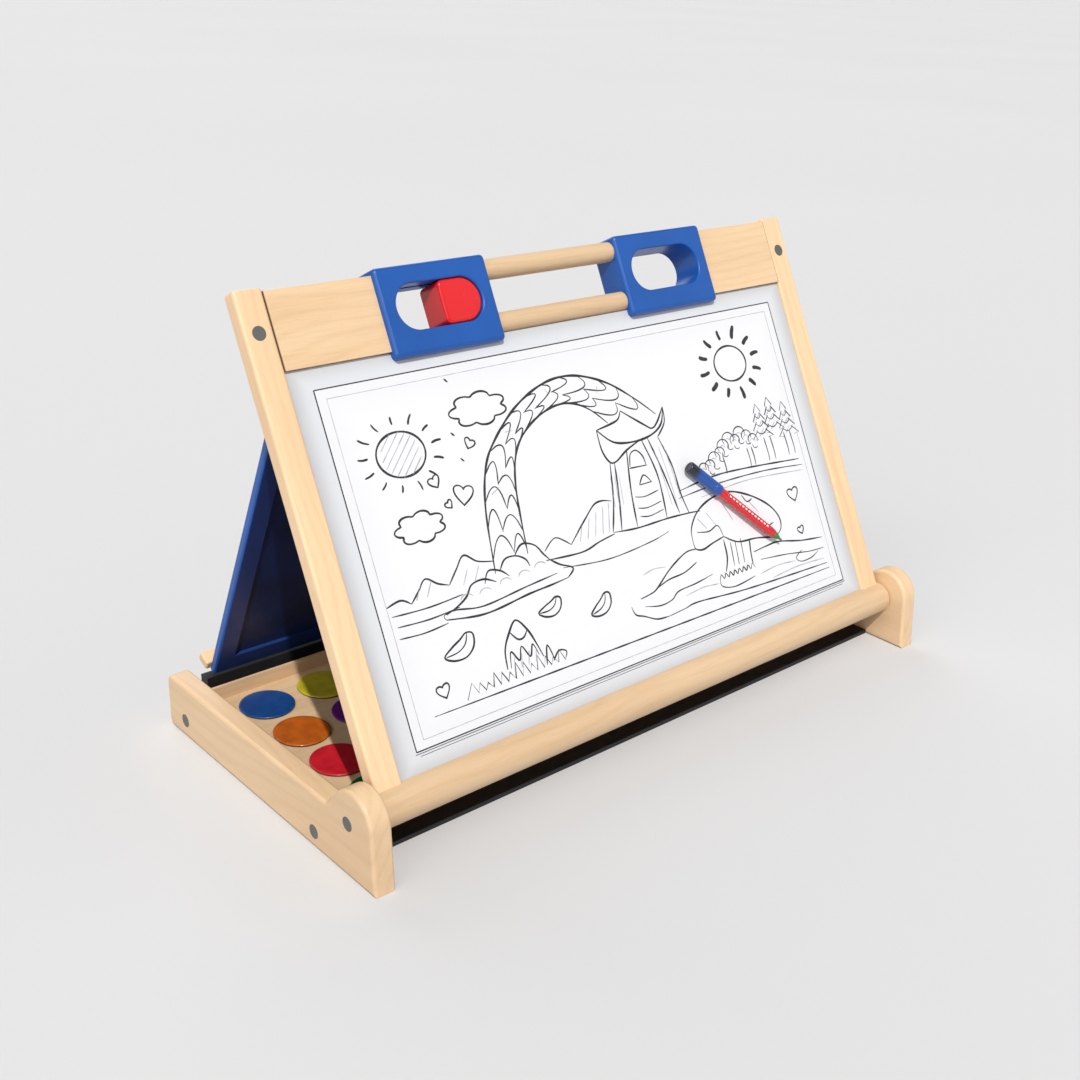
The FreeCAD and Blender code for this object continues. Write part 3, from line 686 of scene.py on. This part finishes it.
def draw_heart(sketch, x, y, size, tilt):
    """Small heart, turned by the tilt."""
    turn = Matrix.Rotation(math.radians(tilt), 2)
    points = []
    steps = 24
    for step in range(steps):
        t = 2 * math.pi * step / steps
        out = Vector((16 * math.sin(t) ** 3, 13 * math.cos(t) - 5 * math.cos(2 * t) - 2 * math.cos(3 * t)))
        points.append(Vector((x, y)) + turn @ out * size / 32)
    sketch.stroke(points, 0.85, closed=True)


def draw_leaf(sketch, x, y, length, tilt):
    """Drifting leaf with one fold line."""
    turn = Matrix.Rotation(math.radians(tilt), 2)
    outline = [(-0.5, 0.04), (-0.3, -0.17), (0.05, -0.27), (0.36, -0.16), (0.5, 0.1)]
    outline += [(0.34, 0.22), (0.1, 0.17), (-0.2, 0.13)]
    fold = [(-0.46, 0.02), (-0.1, -0.05), (0.18, 0.01), (0.36, 0.2)]
    for line, width, closed in ((outline, 0.95, True), (fold, 0.7, False)):
        points = [Vector((x, y)) + turn @ Vector(point) * length for point in line]
        sketch.stroke(points, width, closed=closed)


ARCH_OUTER = [(-114, 100), (-108, 140), (-99, 166), (-86, 182), (-62, 200), (-34, 211), (-8, 212), (19, 203),
              (41, 188), (58, 173)]
ARCH_INNER = [(-85, 106), (-80, 148), (-71, 172), (-55, 186), (-34, 194), (-16, 194), (-1, 187), (12, 175)]


def draw_arch(sketch, pale):
    """Stone arch with rounded stones between its two outlines."""
    sketch.stroke(ARCH_OUTER, 1.25)
    sketch.stroke(ARCH_INNER, 1.15)
    outer = smooth(ARCH_OUTER, False)[0]
    inner = smooth(ARCH_INNER, False)[0]
    rows = 14
    outer_stone, next_shift = 0.42, 0.22
    step = (len(outer) - 1) / (rows + 1)

    def spot(row, share):
        """Place this far up the arch and across it, from its outer line to its inner one."""
        first = outer[min(len(outer) - 1, max(0, round(row * step)))]
        place_in = round(row * step * (len(inner) - 1) / (len(outer) - 1))
        return first.lerp(inner[min(len(inner) - 1, max(0, place_in))], share)

    for row in range(1, rows + 1):
        split = outer_stone + (next_shift if row % 2 else 0.0)
        for low, high in ((0.0, split), (split, 1.0)):
            start = spot(row - 0.35, low)
            crown = spot(row + 0.42 + sketch.pick.uniform(-0.1, 0.1), (low + high) / 2)
            end = spot(row - 0.4, high)
            sketch.stroke([start, start.lerp(crown, 0.6) + (crown - end) * 0.12, crown,
                           end.lerp(crown, 0.6) + (crown - start) * 0.12, end], 0.72)
        if row % 3 == 0:
            pale.stroke([spot(row, 0.2), spot(row + 0.5, 0.45)], 0.5)


def draw_tower(sketch, pale):
    """Small tower with a roof that curls up at its ends, then its walls, door, window and steps."""
    sketch.stroke([(0, 172), (13, 161), (33, 158), (50, 160), (61, 166), (66, 177)], 1.15)
    sketch.stroke([(66, 177), (58, 168), (51, 164), (44, 168), (26, 181)], 1.05)
    sketch.stroke([(26, 181), (22, 176), (15, 174), (0, 172)], 1.05)
    sketch.stroke([(0, 172), (0, 158), (4, 149), (10, 148), (23, 154), (40, 159)], 1.05)
    sketch.stroke([(66, 177), (64, 166), (54, 157)], 0.9)
    for line in ([(4, 148), (-2, 123), (-10, 102)], [(8, 147), (4, 125), (-2, 101)],
                 [(22, 154), (16, 126), (13, 101)], [(38, 158), (44, 131), (42, 100)],
                 [(54, 157), (60, 135), (61, 114), (64, 99)], [(44, 158), (50, 132), (55, 101)]):
        sketch.stroke(line, 1.0)
    sketch.stroke([(21, 142), (24, 150), (30, 152), (35, 147), (36, 140)], 0.8)
    sketch.stroke([(20, 141), (37, 140)], 0.7)
    sketch.stroke([(25, 128), (31, 134), (37, 128)], 0.8)
    sketch.stroke([(25, 128), (37, 128)], 0.7)
    for y in (121, 113, 107):
        sketch.stroke([(18, y), (27, y - 1.6), (41, y)], 0.6)
    sketch.stroke([(-9, 102), (13, 100), (42, 100), (64, 99), (75, 98)], 0.9)
    for x in (47, 52, 57):
        pale.stroke([(x, 150), (x + 2, 128), (x + 3, 108)], 0.5)
    for x in (1, 5, 9):
        pale.stroke([(x, 139), (x - 3, 118)], 0.5)


def draw_mountains(sketch, pale):
    """Ridge at the left, a hill seen through the arch and the water lines."""
    sketch.stroke([(-198, 100), (-187, 102), (-180, 98)], 0.9)
    sketch.stroke([(-180, 98), (-173, 104), (-166, 110), (-158, 105), (-150, 102)], 0.9)
    sketch.stroke([(-150, 102), (-142, 110), (-134, 117), (-125, 111), (-113, 108)], 0.9)
    sketch.stroke([(-71, 104), (-64, 109), (-58, 110), (-48, 103)], 0.7)
    sketch.stroke([(-48, 103), (-38, 111), (-30, 117), (-20, 124), (-12, 125), (-4, 123)], 0.9)
    sketch.stroke([(-72, 98), (-41, 96), (-24, 99), (-9, 101)], 0.9)
    for x in (-40, -33, -26, -19, -13):
        pale.stroke([(x + 6, 119 + (x + 26) * 0.3), (x, 103)], 0.6)
    for x in (-176, -168, -140, -131):
        pale.stroke([(x + 6, 108), (x, 99)], 0.6)
    for y, start, end in ((94, -196, -142), (87, -194, -147), (80, -195, -158)):
        sketch.stroke([(start, y), ((start + end) / 2, y - 1.2), (end, y)], 0.7)
    sketch.stroke([(-60, 90), (-20, 86), (20, 88), (40, 91)], 0.6)


def draw_mound(sketch, pale):
    """Island of bushes at the arch's foot."""
    sketch.stroke([(-158, 85), (-148, 88), (-140, 92), (-134, 98), (-124, 99), (-115, 95)], 1.0)
    sketch.stroke([(-124, 96), (-119, 103), (-110, 101), (-104, 96)], 0.9)
    sketch.stroke([(-110, 101), (-104, 107), (-95, 107), (-88, 103), (-86, 98)], 0.9)
    sketch.stroke([(-96, 107), (-88, 113), (-78, 110), (-73, 103), (-69, 98)], 0.95)
    sketch.stroke([(-69, 98), (-62, 93), (-52, 88), (-58, 83)], 1.0)
    sketch.stroke([(-58, 83), (-72, 82), (-93, 81), (-129, 78), (-159, 82)], 1.0)
    sketch.stroke([(-159, 82), (-160, 85), (-150, 86), (-129, 83), (-93, 86), (-66, 88)], 0.8)
    for x, y in ((-140, 90), (-125, 90), (-108, 92), (-92, 93), (-78, 95)):
        pale.stroke(circle_points(x, y, 5, 8, 0.7, 20, 150), 0.6)


def draw_trees(sketch, pale):
    """Wood on the far bank."""
    for x, y, size in ((84, 122, 4), (90, 126, 5), (97, 127, 5), (103, 131, 6), (110, 134, 5), (115, 138, 6),
                       (122, 142, 6), (129, 140, 5), (135, 144, 6), (142, 141, 5), (148, 137, 5)):
        sketch.stroke(circle_points(x, y, size, 8, 0.85, -35, 250), 0.7)
        sketch.stroke(circle_points(x + 1, y - size * 0.9, size * 0.55, 5, 0.8, 150, 170), 0.55)
        pale.stroke(circle_points(x - 1, y - size * 0.3, size * 0.5, 5, 0.8, 10, 160), 0.5)
    for x, y, tall in ((160, 137, 25), (174, 139, 26), (189, 134, 25)):
        for side in (-1, 1):
            outline = [(x, y + tall)]
            for tier in range(4):
                wide = 4.0 + tier * 2.5
                level = y + tall - 6.5 * (tier + 1)
                outline += [(x + side * wide, level), (x + side * wide * 0.5, level - 0.6)]
            sketch.stroke(outline, 0.8, straight=True)
        for tier in range(3):
            level = y + tall - 9 - tier * 6
            sketch.stroke([(x - 3 - tier, level), (x, level - 2.2), (x + 3 + tier * 1.5, level + 0.5)], 0.6)
            pale.stroke([(x - 4, level - 4), (x + 3, level + 2)], 0.55)
    for x in (112, 139, 144, 160, 167, 183, 190):
        sketch.stroke([(x, 132 if x < 150 else 136), (x + 0.6, 124), (x, 118)], 0.75)
    sketch.stroke([(61, 116), (95, 119), (130, 118), (192, 113)], 0.9)
    sketch.stroke([(58, 111), (100, 113), (150, 112), (194, 108)], 0.7)
    pale.stroke([(80, 107), (130, 109), (193, 104)], 0.6)


def draw_mushroom(sketch, pale):
    """Large toadstool on a grassy bank."""
    cap = [(60, 78), (62, 88), (72, 98), (88, 104), (108, 105), (128, 98), (145, 87), (153, 76)]
    sketch.stroke(cap + [(152, 67), (144, 62)], 1.1)
    sketch.stroke([(60, 78), (61, 73), (68, 71), (78, 73), (91, 75)], 1.0)
    sketch.stroke([(91, 75), (104, 68), (124, 66), (144, 62)], 1.0)
    sketch.stroke([(66, 84), (78, 82), (88, 84), (91, 75)], 0.7)
    sketch.stroke([(120, 100), (124, 94), (130, 95)], 0.7)
    sketch.stroke([(132, 76), (138, 72), (146, 73)], 0.7)
    sketch.stroke([(90, 73), (89, 60), (84, 50)], 1.05)
    sketch.stroke([(116, 67), (114, 58), (113, 49)], 1.05)
    for x in (96, 101, 107):
        sketch.stroke([(x, 70), (x - 1, 60), (x - 2, 52)], 0.6)
    tuft = []
    for step in range(17):
        tuft.append((76 + step * 2.4, 46 + (3.5 if step % 2 else 0)))
    sketch.stroke(tuft, 0.8)
    sketch.stroke([(76, 46), (77, 41), (90, 38), (112, 40)], 0.7)
    for x in (70, 80, 98, 110, 126):
        pale.stroke([(x, 99 - abs(x - 98) * 0.2), (x + 7, 84)], 0.6)


def draw_bank(sketch, pale):
    """Near bank, with ripples."""
    sketch.stroke([(-2, 53), (8, 54), (15, 56), (32, 66), (50, 73), (61, 73)], 0.9)
    sketch.stroke([(15, 56), (28, 59), (44, 60), (58, 64)], 0.8)
    sketch.stroke([(-12, 50), (-10, 44), (-3, 41), (8, 36), (20, 35)], 0.8)
    sketch.stroke([(20, 35), (36, 36), (51, 37), (103, 33), (192, 30)], 0.8)
    sketch.stroke([(0, 47), (14, 44), (26, 45), (34, 49), (52, 50), (70, 52)], 0.7)
    sketch.stroke([(117, 57), (132, 58), (146, 58), (170, 53), (194, 50)], 0.9)
    sketch.stroke([(122, 50), (150, 47), (176, 43), (193, 42)], 0.6)
    sketch.stroke([(168, 46), (160, 42), (164, 38), (176, 38), (186, 41)], 0.6)
    sketch.stroke([(-186, 29), (-78, 28), (40, 27), (193, 26)], 0.8)
    for y, start, end in ((44, 40, 74), (40, 118, 158), (34, 130, 190), (68, 6, 28)):
        pale.stroke([(start, y), ((start + end) / 2, y + 1.5), (end, y)], 0.6)


def draw_grass(sketch, pale):
    """Pointed bud in a tuft of grass."""
    sketch.stroke([(-125, 40), (-123, 52), (-117, 61), (-109, 68), (-102, 60), (-98, 50), (-95, 40)], 1.1)
    sketch.stroke([(-116, 62), (-111, 56), (-106, 56), (-102, 60)], 0.9)
    sketch.stroke([(-122, 40), (-119, 50), (-114, 43), (-110, 51), (-105, 43), (-101, 50), (-98, 42)], 0.9)
    blades = [(-160, 31)]
    for step in range(13):
        x = -154 + step * 6
        blades += [(x, 43 - abs(step - 7) * 0.4 - (step % 3) * 2), (x + 3.5, 33)]
    sketch.stroke(blades, 1.0, straight=True)
    sketch.stroke([(-94, 34), (-90, 46), (-87, 36)], 0.9)
    sketch.stroke([(-88, 35), (-82, 40), (-76, 38), (-78, 34)], 0.9)
    for x in (-120, -114, -108, -102):
        pale.stroke([(x, 38), (x + 3, 47)], 0.6)


def draw_sky(sketch, pale):
    """Two suns, the left one shaded, two clouds, hearts and dots."""
    sun_x, sun_y = -158, 187
    draw_sun(sketch, x=sun_x, y=sun_y, radius=18, rays=13, gap=6, reach=8, width=1.1)
    draw_sun(sketch, x=146, y=196, radius=17, rays=12, gap=7, reach=12, width=2.4)
    draw_cloud(sketch, -92, 204, 21.5, 10)
    draw_cloud(sketch, -159, 141, 17.5, 9)
    for line in range(-3, 4):
        reach = math.sqrt(15 ** 2 - (line * 4.4) ** 2) * 0.7
        x, y = sun_x + line * 3, sun_y - line * 3
        pale.stroke([(x - reach, y - reach), (x + reach, y + reach)], 0.55)
    for x, y, size, tilt in ((-140, 166, 9, 20), (-121, 154, 15, -14), (-134, 150, 6, 30),
                             (-106, 184, 8, -35), (175, 89, 12, 4), (173, 61, 7, 10), (-175, 42, 10, 8)):
        draw_heart(sketch, x, y, size, tilt)
    for x, y in ((-118, 193), (-116, 176), (-112, 227)):
        sketch.stroke([(x, y), (x + 2.5, y - 2.5)], 1.0)


def draw_buildings(sketch, pale):
    """Arch and tower."""
    draw_arch(sketch, pale)
    draw_tower(sketch, pale)


def draw_land(sketch, pale):
    """Everything from the ridge down to the near bank, and three leaves."""
    for draw in (draw_mountains, draw_mound, draw_trees, draw_bank, draw_mushroom, draw_grass):
        draw(sketch, pale)
    for x, y, length, tilt in ((-155, 63, 26, 16), (-79, 68, 21, 10), (-37, 58, 22, 24)):
        draw_leaf(sketch, x, y, length, tilt)


# ------------------------------------------------------------------ operators


def wood_nodes(names, grain, face, seed, joint=None, tone=1.0):
    """Give each named node its own piece of wood."""
    for index, name in enumerate(names):
        dress(name, wood("wood_" + name, grain, face, seed * 100 + index, joint, tone))


class EASEL_OT_base_wood(bpy.types.Operator):
    """Varnish the side rails, cross rails and tray"""

    bl_idname = "easel.base_wood"
    bl_label = "Base wood"
    bl_options = {"REGISTER", "UNDO"}

    def execute(self, context):
        sizes = context.scene.easel_sizes
        wood_nodes(["left_side_rail", "right_side_rail"], TO_REAR, UP, sizes.seed, tone=0.93)
        wood_nodes(["front_cross_rail", "rear_cross_rail"], ACROSS, UP, sizes.seed + 1)
        wood_nodes(["palette_board", "palette_rear_wall"], ACROSS, TO_REAR, sizes.seed + 2, tone=0.85)
        return {"FINISHED"}


class EASEL_OT_panel_wood(bpy.types.Operator):
    """Varnish the frame of the drawing panel, its bars and the chalk ledge"""

    bl_idname = "easel.panel_wood"
    bl_label = "Panel wood"
    bl_options = {"REGISTER", "UNDO"}

    def execute(self, context):
        sizes = context.scene.easel_sizes
        wood_nodes(["left_stile", "right_stile"], panel_up, ACROSS, sizes.seed + 3, tone=1.05)
        rails = ["left_top_rail", "right_top_rail", "hinge_rail"]
        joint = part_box("right_stile")[0].x
        wood_nodes(rails, ACROSS, panel_up, sizes.seed + 4, joint, tone=0.94)
        bars = ["bottom_dowel", "upper_handle_bar", "lower_handle_bar"]
        # Painted shade: the bars get a darker tone because they are lit less than the frame.
        wood_nodes(bars, ACROSS, panel_up, sizes.seed + 5, tone=0.81)
        wood_nodes(["chalk_ledge"], ACROSS, back_up, sizes.seed + 6)
        return {"FINISHED"}


class EASEL_OT_sleeves(bpy.types.Operator):
    """Finish the blue sleeves, the red latch and the blue frame"""

    bl_idname = "easel.sleeves"
    bl_label = "Sleeves and latch"
    bl_options = {"REGISTER", "UNDO"}

    def execute(self, context):
        colours = context.scene.easel_colours
        blue = plastic("blue_plastic", colours.blue, 0.34)
        for name in ("left_sleeve", "right_sleeve"):
            dress(name, blue)
        # Dark navy painted shade for the front half of the blue frame.
        inner = shade(colours.navy, 1.6)
        dress("back_frame", plastic("blue_frame", colours.blue, 0.34, inner=inner))
        dress("slide_latch", plastic("red_plastic", colours.red, 0.2, 0.012))
        return {"FINISHED"}


class EASEL_OT_boards(bpy.types.Operator):
    """Finish the whiteboard, the chalkboard and the black boards"""

    bl_idname = "easel.boards"
    bl_label = "Boards"
    bl_options = {"REGISTER", "UNDO"}

    def execute(self, context):
        colours = context.scene.easel_colours
        dress("whiteboard", enamel())
        dress("chalkboard", chalk_slate())
        black = painted_board("black_board", colours.black_board, 0.5)
        for name in ("base_board", "rear_stop_board"):
            dress(name, black)
        return {"FINISHED"}


class EASEL_OT_drawing(bpy.types.Operator):
    """Draw the picture on the whiteboard in thin raised lines"""

    bl_idname = "easel.drawing"
    bl_label = "Drawing"
    bl_options = {"REGISTER", "UNDO"}

    def execute(self, context):
        sizes = context.scene.easel_sizes
        colours = context.scene.easel_colours
        dark = ink("ink", colours.ink)
        faint = ink("pale_ink", colours.pale_ink)
        pale = Sketch("drawing_shading", sizes.seed + 20)
        parts = (("drawing_border", draw_border), ("drawing_sky", draw_sky),
                 ("drawing_arch_and_tower", draw_buildings), ("drawing_land", draw_land))
        for seed, (name, draw) in enumerate(parts, start=sizes.seed + 21):
            sketch = Sketch(name, seed)
            draw(sketch, pale)
            sketch.finish(dark)
        pale.finish(faint)
        return {"FINISHED"}


class EASEL_OT_paints(bpy.types.Operator):
    """Turn the flat cakes of paint"""

    bl_idname = "easel.paints"
    bl_label = "Paints"
    bl_options = {"REGISTER", "UNDO"}

    def execute(self, context):
        for name in [node for node in nodes if node.startswith("paint_disc_")]:
            colour_name = name.replace("paint_disc_", "")
            slot = "paint_" + colour_name
            low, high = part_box(name)
            radius = (high.x - low.x) / 2
            thickness = high.z - low.z
            centre = Vector(((low.x + high.x) / 2, (low.y + high.y) / 2, low.z))
            place = Matrix.Translation(centre) @ Matrix.Rotation(math.radians(-90), 4, "Y")
            corners = [(0, 0), (0, radius - 0.5 * MM), (thickness * 0.55, radius)]
            corners += [(thickness * 0.86, radius - 0.3 * MM), (thickness, radius - 1.6 * MM)]
            corners += [(thickness * 0.86, radius * 0.55), (thickness * 0.8, 0)]
            mesh = turned("cake_" + colour_name, rounded_profile(corners, 0.9 * MM), place, 96)
            material = paint_cake(slot, PAINTS[colour_name], high.z)
            piece = add_piece("cake_" + colour_name, mesh, material, "base")
            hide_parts(name)
        return {"FINISHED"}


class EASEL_OT_hardware(bpy.types.Operator):
    """Finish the screws and hinges"""

    bl_idname = "easel.hardware"
    bl_label = "Screws and hinges"
    bl_options = {"REGISTER", "UNDO"}

    def execute(self, context):
        colours = context.scene.easel_colours
        grey = dull_metal("grey_screw", colours.screw, 0.45, 0.5)
        for name in ("rail_screws", "pivot_screws", "stile_screws"):
            dress(name, grey)
        steel = dull_metal("hinge_steel", colours.steel, 0.28, 1.0)
        for name in nodes:
            if "hinge" in name and name != "hinge_rail":
                dress(name, steel)
        return {"FINISHED"}


class EASEL_OT_pen(bpy.types.Operator):
    """Turn the magnetic pen that rests on the board"""

    bl_idname = "easel.pen"
    bl_label = "Pen"
    bl_options = {"REGISTER", "UNDO"}

    def execute(self, context):
        start = middle("pen_cap")
        way = (middle("pen_barrel") - start).normalized()
        turn = Matrix((way, panel_out.cross(way).normalized(), panel_out)).transposed().to_4x4()
        dress("pen_magnet", dull_metal("magnet", (0.08, 0.08, 0.085, 1), 0.5, 0.4))
        cap_radius = self.radius("pen_cap")
        radius = self.radius("pen_barrel")
        cap_end, barrel_end, tip = 33.0 * MM, 93.0 * MM, 102.6 * MM
        cap_top = start - way * cap_end / 2
        place = Matrix.Translation(cap_top) @ turn
        groove = cap_radius - 0.3 * MM
        cap = [(0.4 * MM, 0), (0.4 * MM, cap_radius * 0.6), (0, cap_radius * 0.66), (0, cap_radius * 0.9),
               (1.0 * MM, cap_radius), (cap_end - 8.0 * MM, cap_radius), (cap_end - 7.7 * MM, groove),
               (cap_end - 6.9 * MM, groove), (cap_end - 6.6 * MM, cap_radius),
               (cap_end - 0.8 * MM, cap_radius * 0.98), (cap_end, cap_radius * 0.9), (cap_end, radius * 0.8)]
        barrel = [(cap_end, radius * 0.8), (cap_end, radius * 0.97), (cap_end + 0.4 * MM, radius),
                  (barrel_end - 4.5 * MM, radius), (barrel_end, radius * 0.86), (barrel_end, 0)]
        nib = [(barrel_end, 0), (barrel_end, radius * 0.78), (barrel_end + 2.0 * MM, radius * 0.74),
               (tip - 4.0 * MM, radius * 0.42), (tip - 3.2 * MM, radius * 0.28),
               (tip - 0.7 * MM, radius * 0.2), (tip, 0)]
        blue, red, green = (0.012, 0.075, 0.34, 1), (0.62, 0.012, 0.02, 1), (0.03, 0.22, 0.05, 1)
        pieces = (("pen_cap", cap, "pen_blue", self.plugged(blue, cap_top, way)),
                  ("pen_barrel", barrel, "pen_red", self.dashed(red, cap_top, way)),
                  ("pen_nib", nib, "pen_green", plastic("pen_green", green, 0.25, 0.01)))
        for node, profile, slot, material in pieces:
            mesh = turned(node + "_turned", rounded_profile(profile, 0.6 * MM, 4), place, 48)
            piece = add_piece(node + "_turned", mesh, material, "magnetic_pen")
            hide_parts(node)
        return {"FINISHED"}

    def radius(self, node):
        """Radius of a round piece that lies along the board."""
        low, high = extent(node, panel_place)
        return (high.y - low.y) / 2

    def plugged(self, value, origin, way):
        """Blue cap with a dark end."""
        dark_end = (0.014, 0.017, 0.028, 1)
        finish = Finish("pen_blue", {"Coat Weight": 0.2, "Coat Roughness": 0.2})
        cloud = finish.noise(finish.place(), 90, 3)
        body = finish.along(way, origin).ease(5, 11)
        finish.feed(base_color=finish.mix(body, dark_end, value), roughness=0.25 + cloud * 0.1)
        return finish.material

    def dashed(self, value, origin, way):
        """Red barrel with a row of short pale dashes."""
        dash_pitch, first, final = 3.4, 39, 84
        pale = (0.86, 0.84, 0.82, 1)
        finish = Finish("pen_red", {"Coat Weight": 0.4, "Coat Roughness": 0.1})
        along = finish.along(way, origin)
        side = finish.along(panel_out.cross(way), origin)
        top = finish.along(panel_out, origin)
        dash = (along * (2 * math.pi / dash_pitch)).sine().ease(-0.35, -0.2)
        row = (1 - abs(side).ease(0.5, 0.7)) * top.ease(0, 1)
        span = along.ease(first, first + 0.3) * (1 - along.ease(final, final + 0.3))
        cloud = finish.noise(finish.place(), 90, 3)
        finish.feed(base_color=finish.mix(dash * row * span, value, pale), roughness=0.22 + cloud * 0.1)
        return finish.material


class EASEL_OT_stage(bpy.types.Operator):
    """Lay the pale floor and set the lights and the camera"""

    bl_idname = "easel.stage"
    bl_label = "Stage"
    bl_options = {"REGISTER", "UNDO"}

    def execute(self, context):
        sizes = context.scene.easel_sizes
        self.floor(sizes)
        self.lights()
        self.surround()
        self.camera(sizes)
        return {"FINISHED"}

    def floor(self, sizes):
        """Plain pale floor just under the easel."""
        gap = 0.2 * MM
        mesh = bpy.data.meshes.new("floor")
        shape = bmesh.new()
        bmesh.ops.create_circle(shape, cap_ends=True, segments=96, radius=sizes.floor_radius)
        shape.to_mesh(mesh)
        shape.free()
        finish = Finish("floor", {"Roughness": 0.9, "Specular IOR Level": 0.1})
        cloud = finish.noise(finish.place(), 0.6, 2)
        finish.feed(base_color=finish.mix(cloud, (0.60, 0.60, 0.61, 1), (0.63, 0.63, 0.64, 1)))
        mesh.materials.append(finish.material)
        floor = bpy.data.objects.new("floor", mesh)
        floor.location.z = cad_box[0].z - gap
        bpy.context.scene.collection.objects.link(floor)

    def lights(self):
        """A key light from the front left and broad soft fills."""
        # Name, way towards the lamp, strength, spread in degrees, tint.
        lamps = (
            ("key", Vector((-0.4, -0.655, 1)), 2.95, 1.2, (1.0, 0.985, 0.96)),
            ("left_fill", Vector((-1.3, -0.35, 0.85)), 0.94, 50, (1.0, 0.99, 0.97)),
            ("right_fill", Vector((1.2, -0.8, 0.9)), 0.33, 50, (0.96, 0.98, 1.0)),
            ("rear_fill", Vector((0.3, 1.2, 0.9)), 1.05, 50, (0.97, 0.98, 1.0)),
        )
        centre = (cad_box[0] + cad_box[1]) / 2
        distance = 2.5
        for name, way, strength, spread, tint in lamps:
            data = bpy.data.lights.new(name, "SUN")
            data.energy = strength
            data.angle = math.radians(spread)
            data.color = tint
            lamp = bpy.data.objects.new(name, data)
            lamp.location = centre + way.normalized() * distance
            lamp.rotation_mode = "QUATERNION"
            lamp.rotation_quaternion = way.to_track_quat("Z", "Y")
            bpy.context.scene.collection.objects.link(lamp)

    def surround(self):
        """Pale surround: dim as a light, bright where it is seen."""
        lit, seen = 0.17, 0.78
        world = bpy.data.worlds.new("surround")
        world.use_nodes = True
        graph = Graph(world.node_tree)
        background = graph.tree.nodes["Background"]
        graph.plug(background.inputs["Color"], (0.95, 0.97, 1.0, 1))
        straight = graph.add("ShaderNodeLightPath", out="Is Camera Ray")
        sockets = {"Value": straight, "To Min": lit, "To Max": seen}
        graph.plug(background.inputs["Strength"], graph.add("ShaderNodeMapRange", sockets=sockets))
        bpy.context.scene.world = world
        bpy.context.scene.view_settings.view_transform = "Standard"

    def camera(self, sizes):
        """Camera at the front left, a little above the easel and turned slightly."""
        from_front = Vector((-0.6220, -0.5292, 0.4978))
        data = bpy.data.cameras.new("camera")
        data.lens = sizes.lens
        data.sensor_width = 36
        data.clip_start = 0.01
        data.clip_end = sizes.floor_radius * 4
        camera = bpy.data.objects.new("camera", data)
        azimuth, elevation, roll = math.radians(-42.02), math.radians(23.16), math.radians(2.29)
        back = Vector((math.sin(azimuth) * math.cos(elevation), -math.cos(azimuth) * math.cos(elevation),
                       math.sin(elevation)))
        right = (-back).cross(UP).normalized()
        top = right.cross(-back)
        turned_right = right * math.cos(roll) + top * math.sin(roll)
        turned_top = top * math.cos(roll) - right * math.sin(roll)
        turn = Matrix((turned_right, turned_top, back)).transposed().to_4x4()
        front = Vector((0, cad_box[0].y, 0))
        camera.matrix_world = Matrix.Translation(front + from_front) @ turn
        bpy.context.scene.collection.objects.link(camera)
        bpy.context.scene.camera = camera


class EASEL_PT_panel(bpy.types.Panel):
    """Steps and settings of the easel"""

    bl_label = "Easel"
    bl_idname = "EASEL_PT_panel"
    bl_space_type = "VIEW_3D"
    bl_region_type = "UI"
    bl_category = "Easel"

    def draw(self, context):
        for step in STEPS:
            self.layout.operator(step.bl_idname)
        for group in (context.scene.easel_sizes, context.scene.easel_colours):
            for name in group.__annotations__:
                self.layout.prop(group, name)


STEPS = (
    EASEL_OT_base_wood,
    EASEL_OT_panel_wood,
    EASEL_OT_sleeves,
    EASEL_OT_boards,
    EASEL_OT_drawing,
    EASEL_OT_paints,
    EASEL_OT_hardware,
    EASEL_OT_pen,
    EASEL_OT_stage,
)
CLASSES = (EaselSizes, EaselColours, *STEPS, EASEL_PT_panel)


def register():
    """Add the settings, steps and panel."""
    for item in CLASSES:
        bpy.utils.register_class(item)
    bpy.types.Scene.easel_sizes = PointerProperty(type=EaselSizes)
    bpy.types.Scene.easel_colours = PointerProperty(type=EaselColours)


def unregister():
    """Take them away again."""
    del bpy.types.Scene.easel_colours
    del bpy.types.Scene.easel_sizes
    for item in reversed(CLASSES):
        bpy.utils.unregister_class(item)


def main():
    """Run every step."""
    register()
    bpy.ops.easel.base_wood()
    bpy.ops.easel.panel_wood()
    bpy.ops.easel.sleeves()
    bpy.ops.easel.boards()
    bpy.ops.easel.drawing()
    bpy.ops.easel.paints()
    bpy.ops.easel.hardware()
    bpy.ops.easel.pen()
    bpy.ops.easel.stage()


if __name__ == "__main__":
    main()
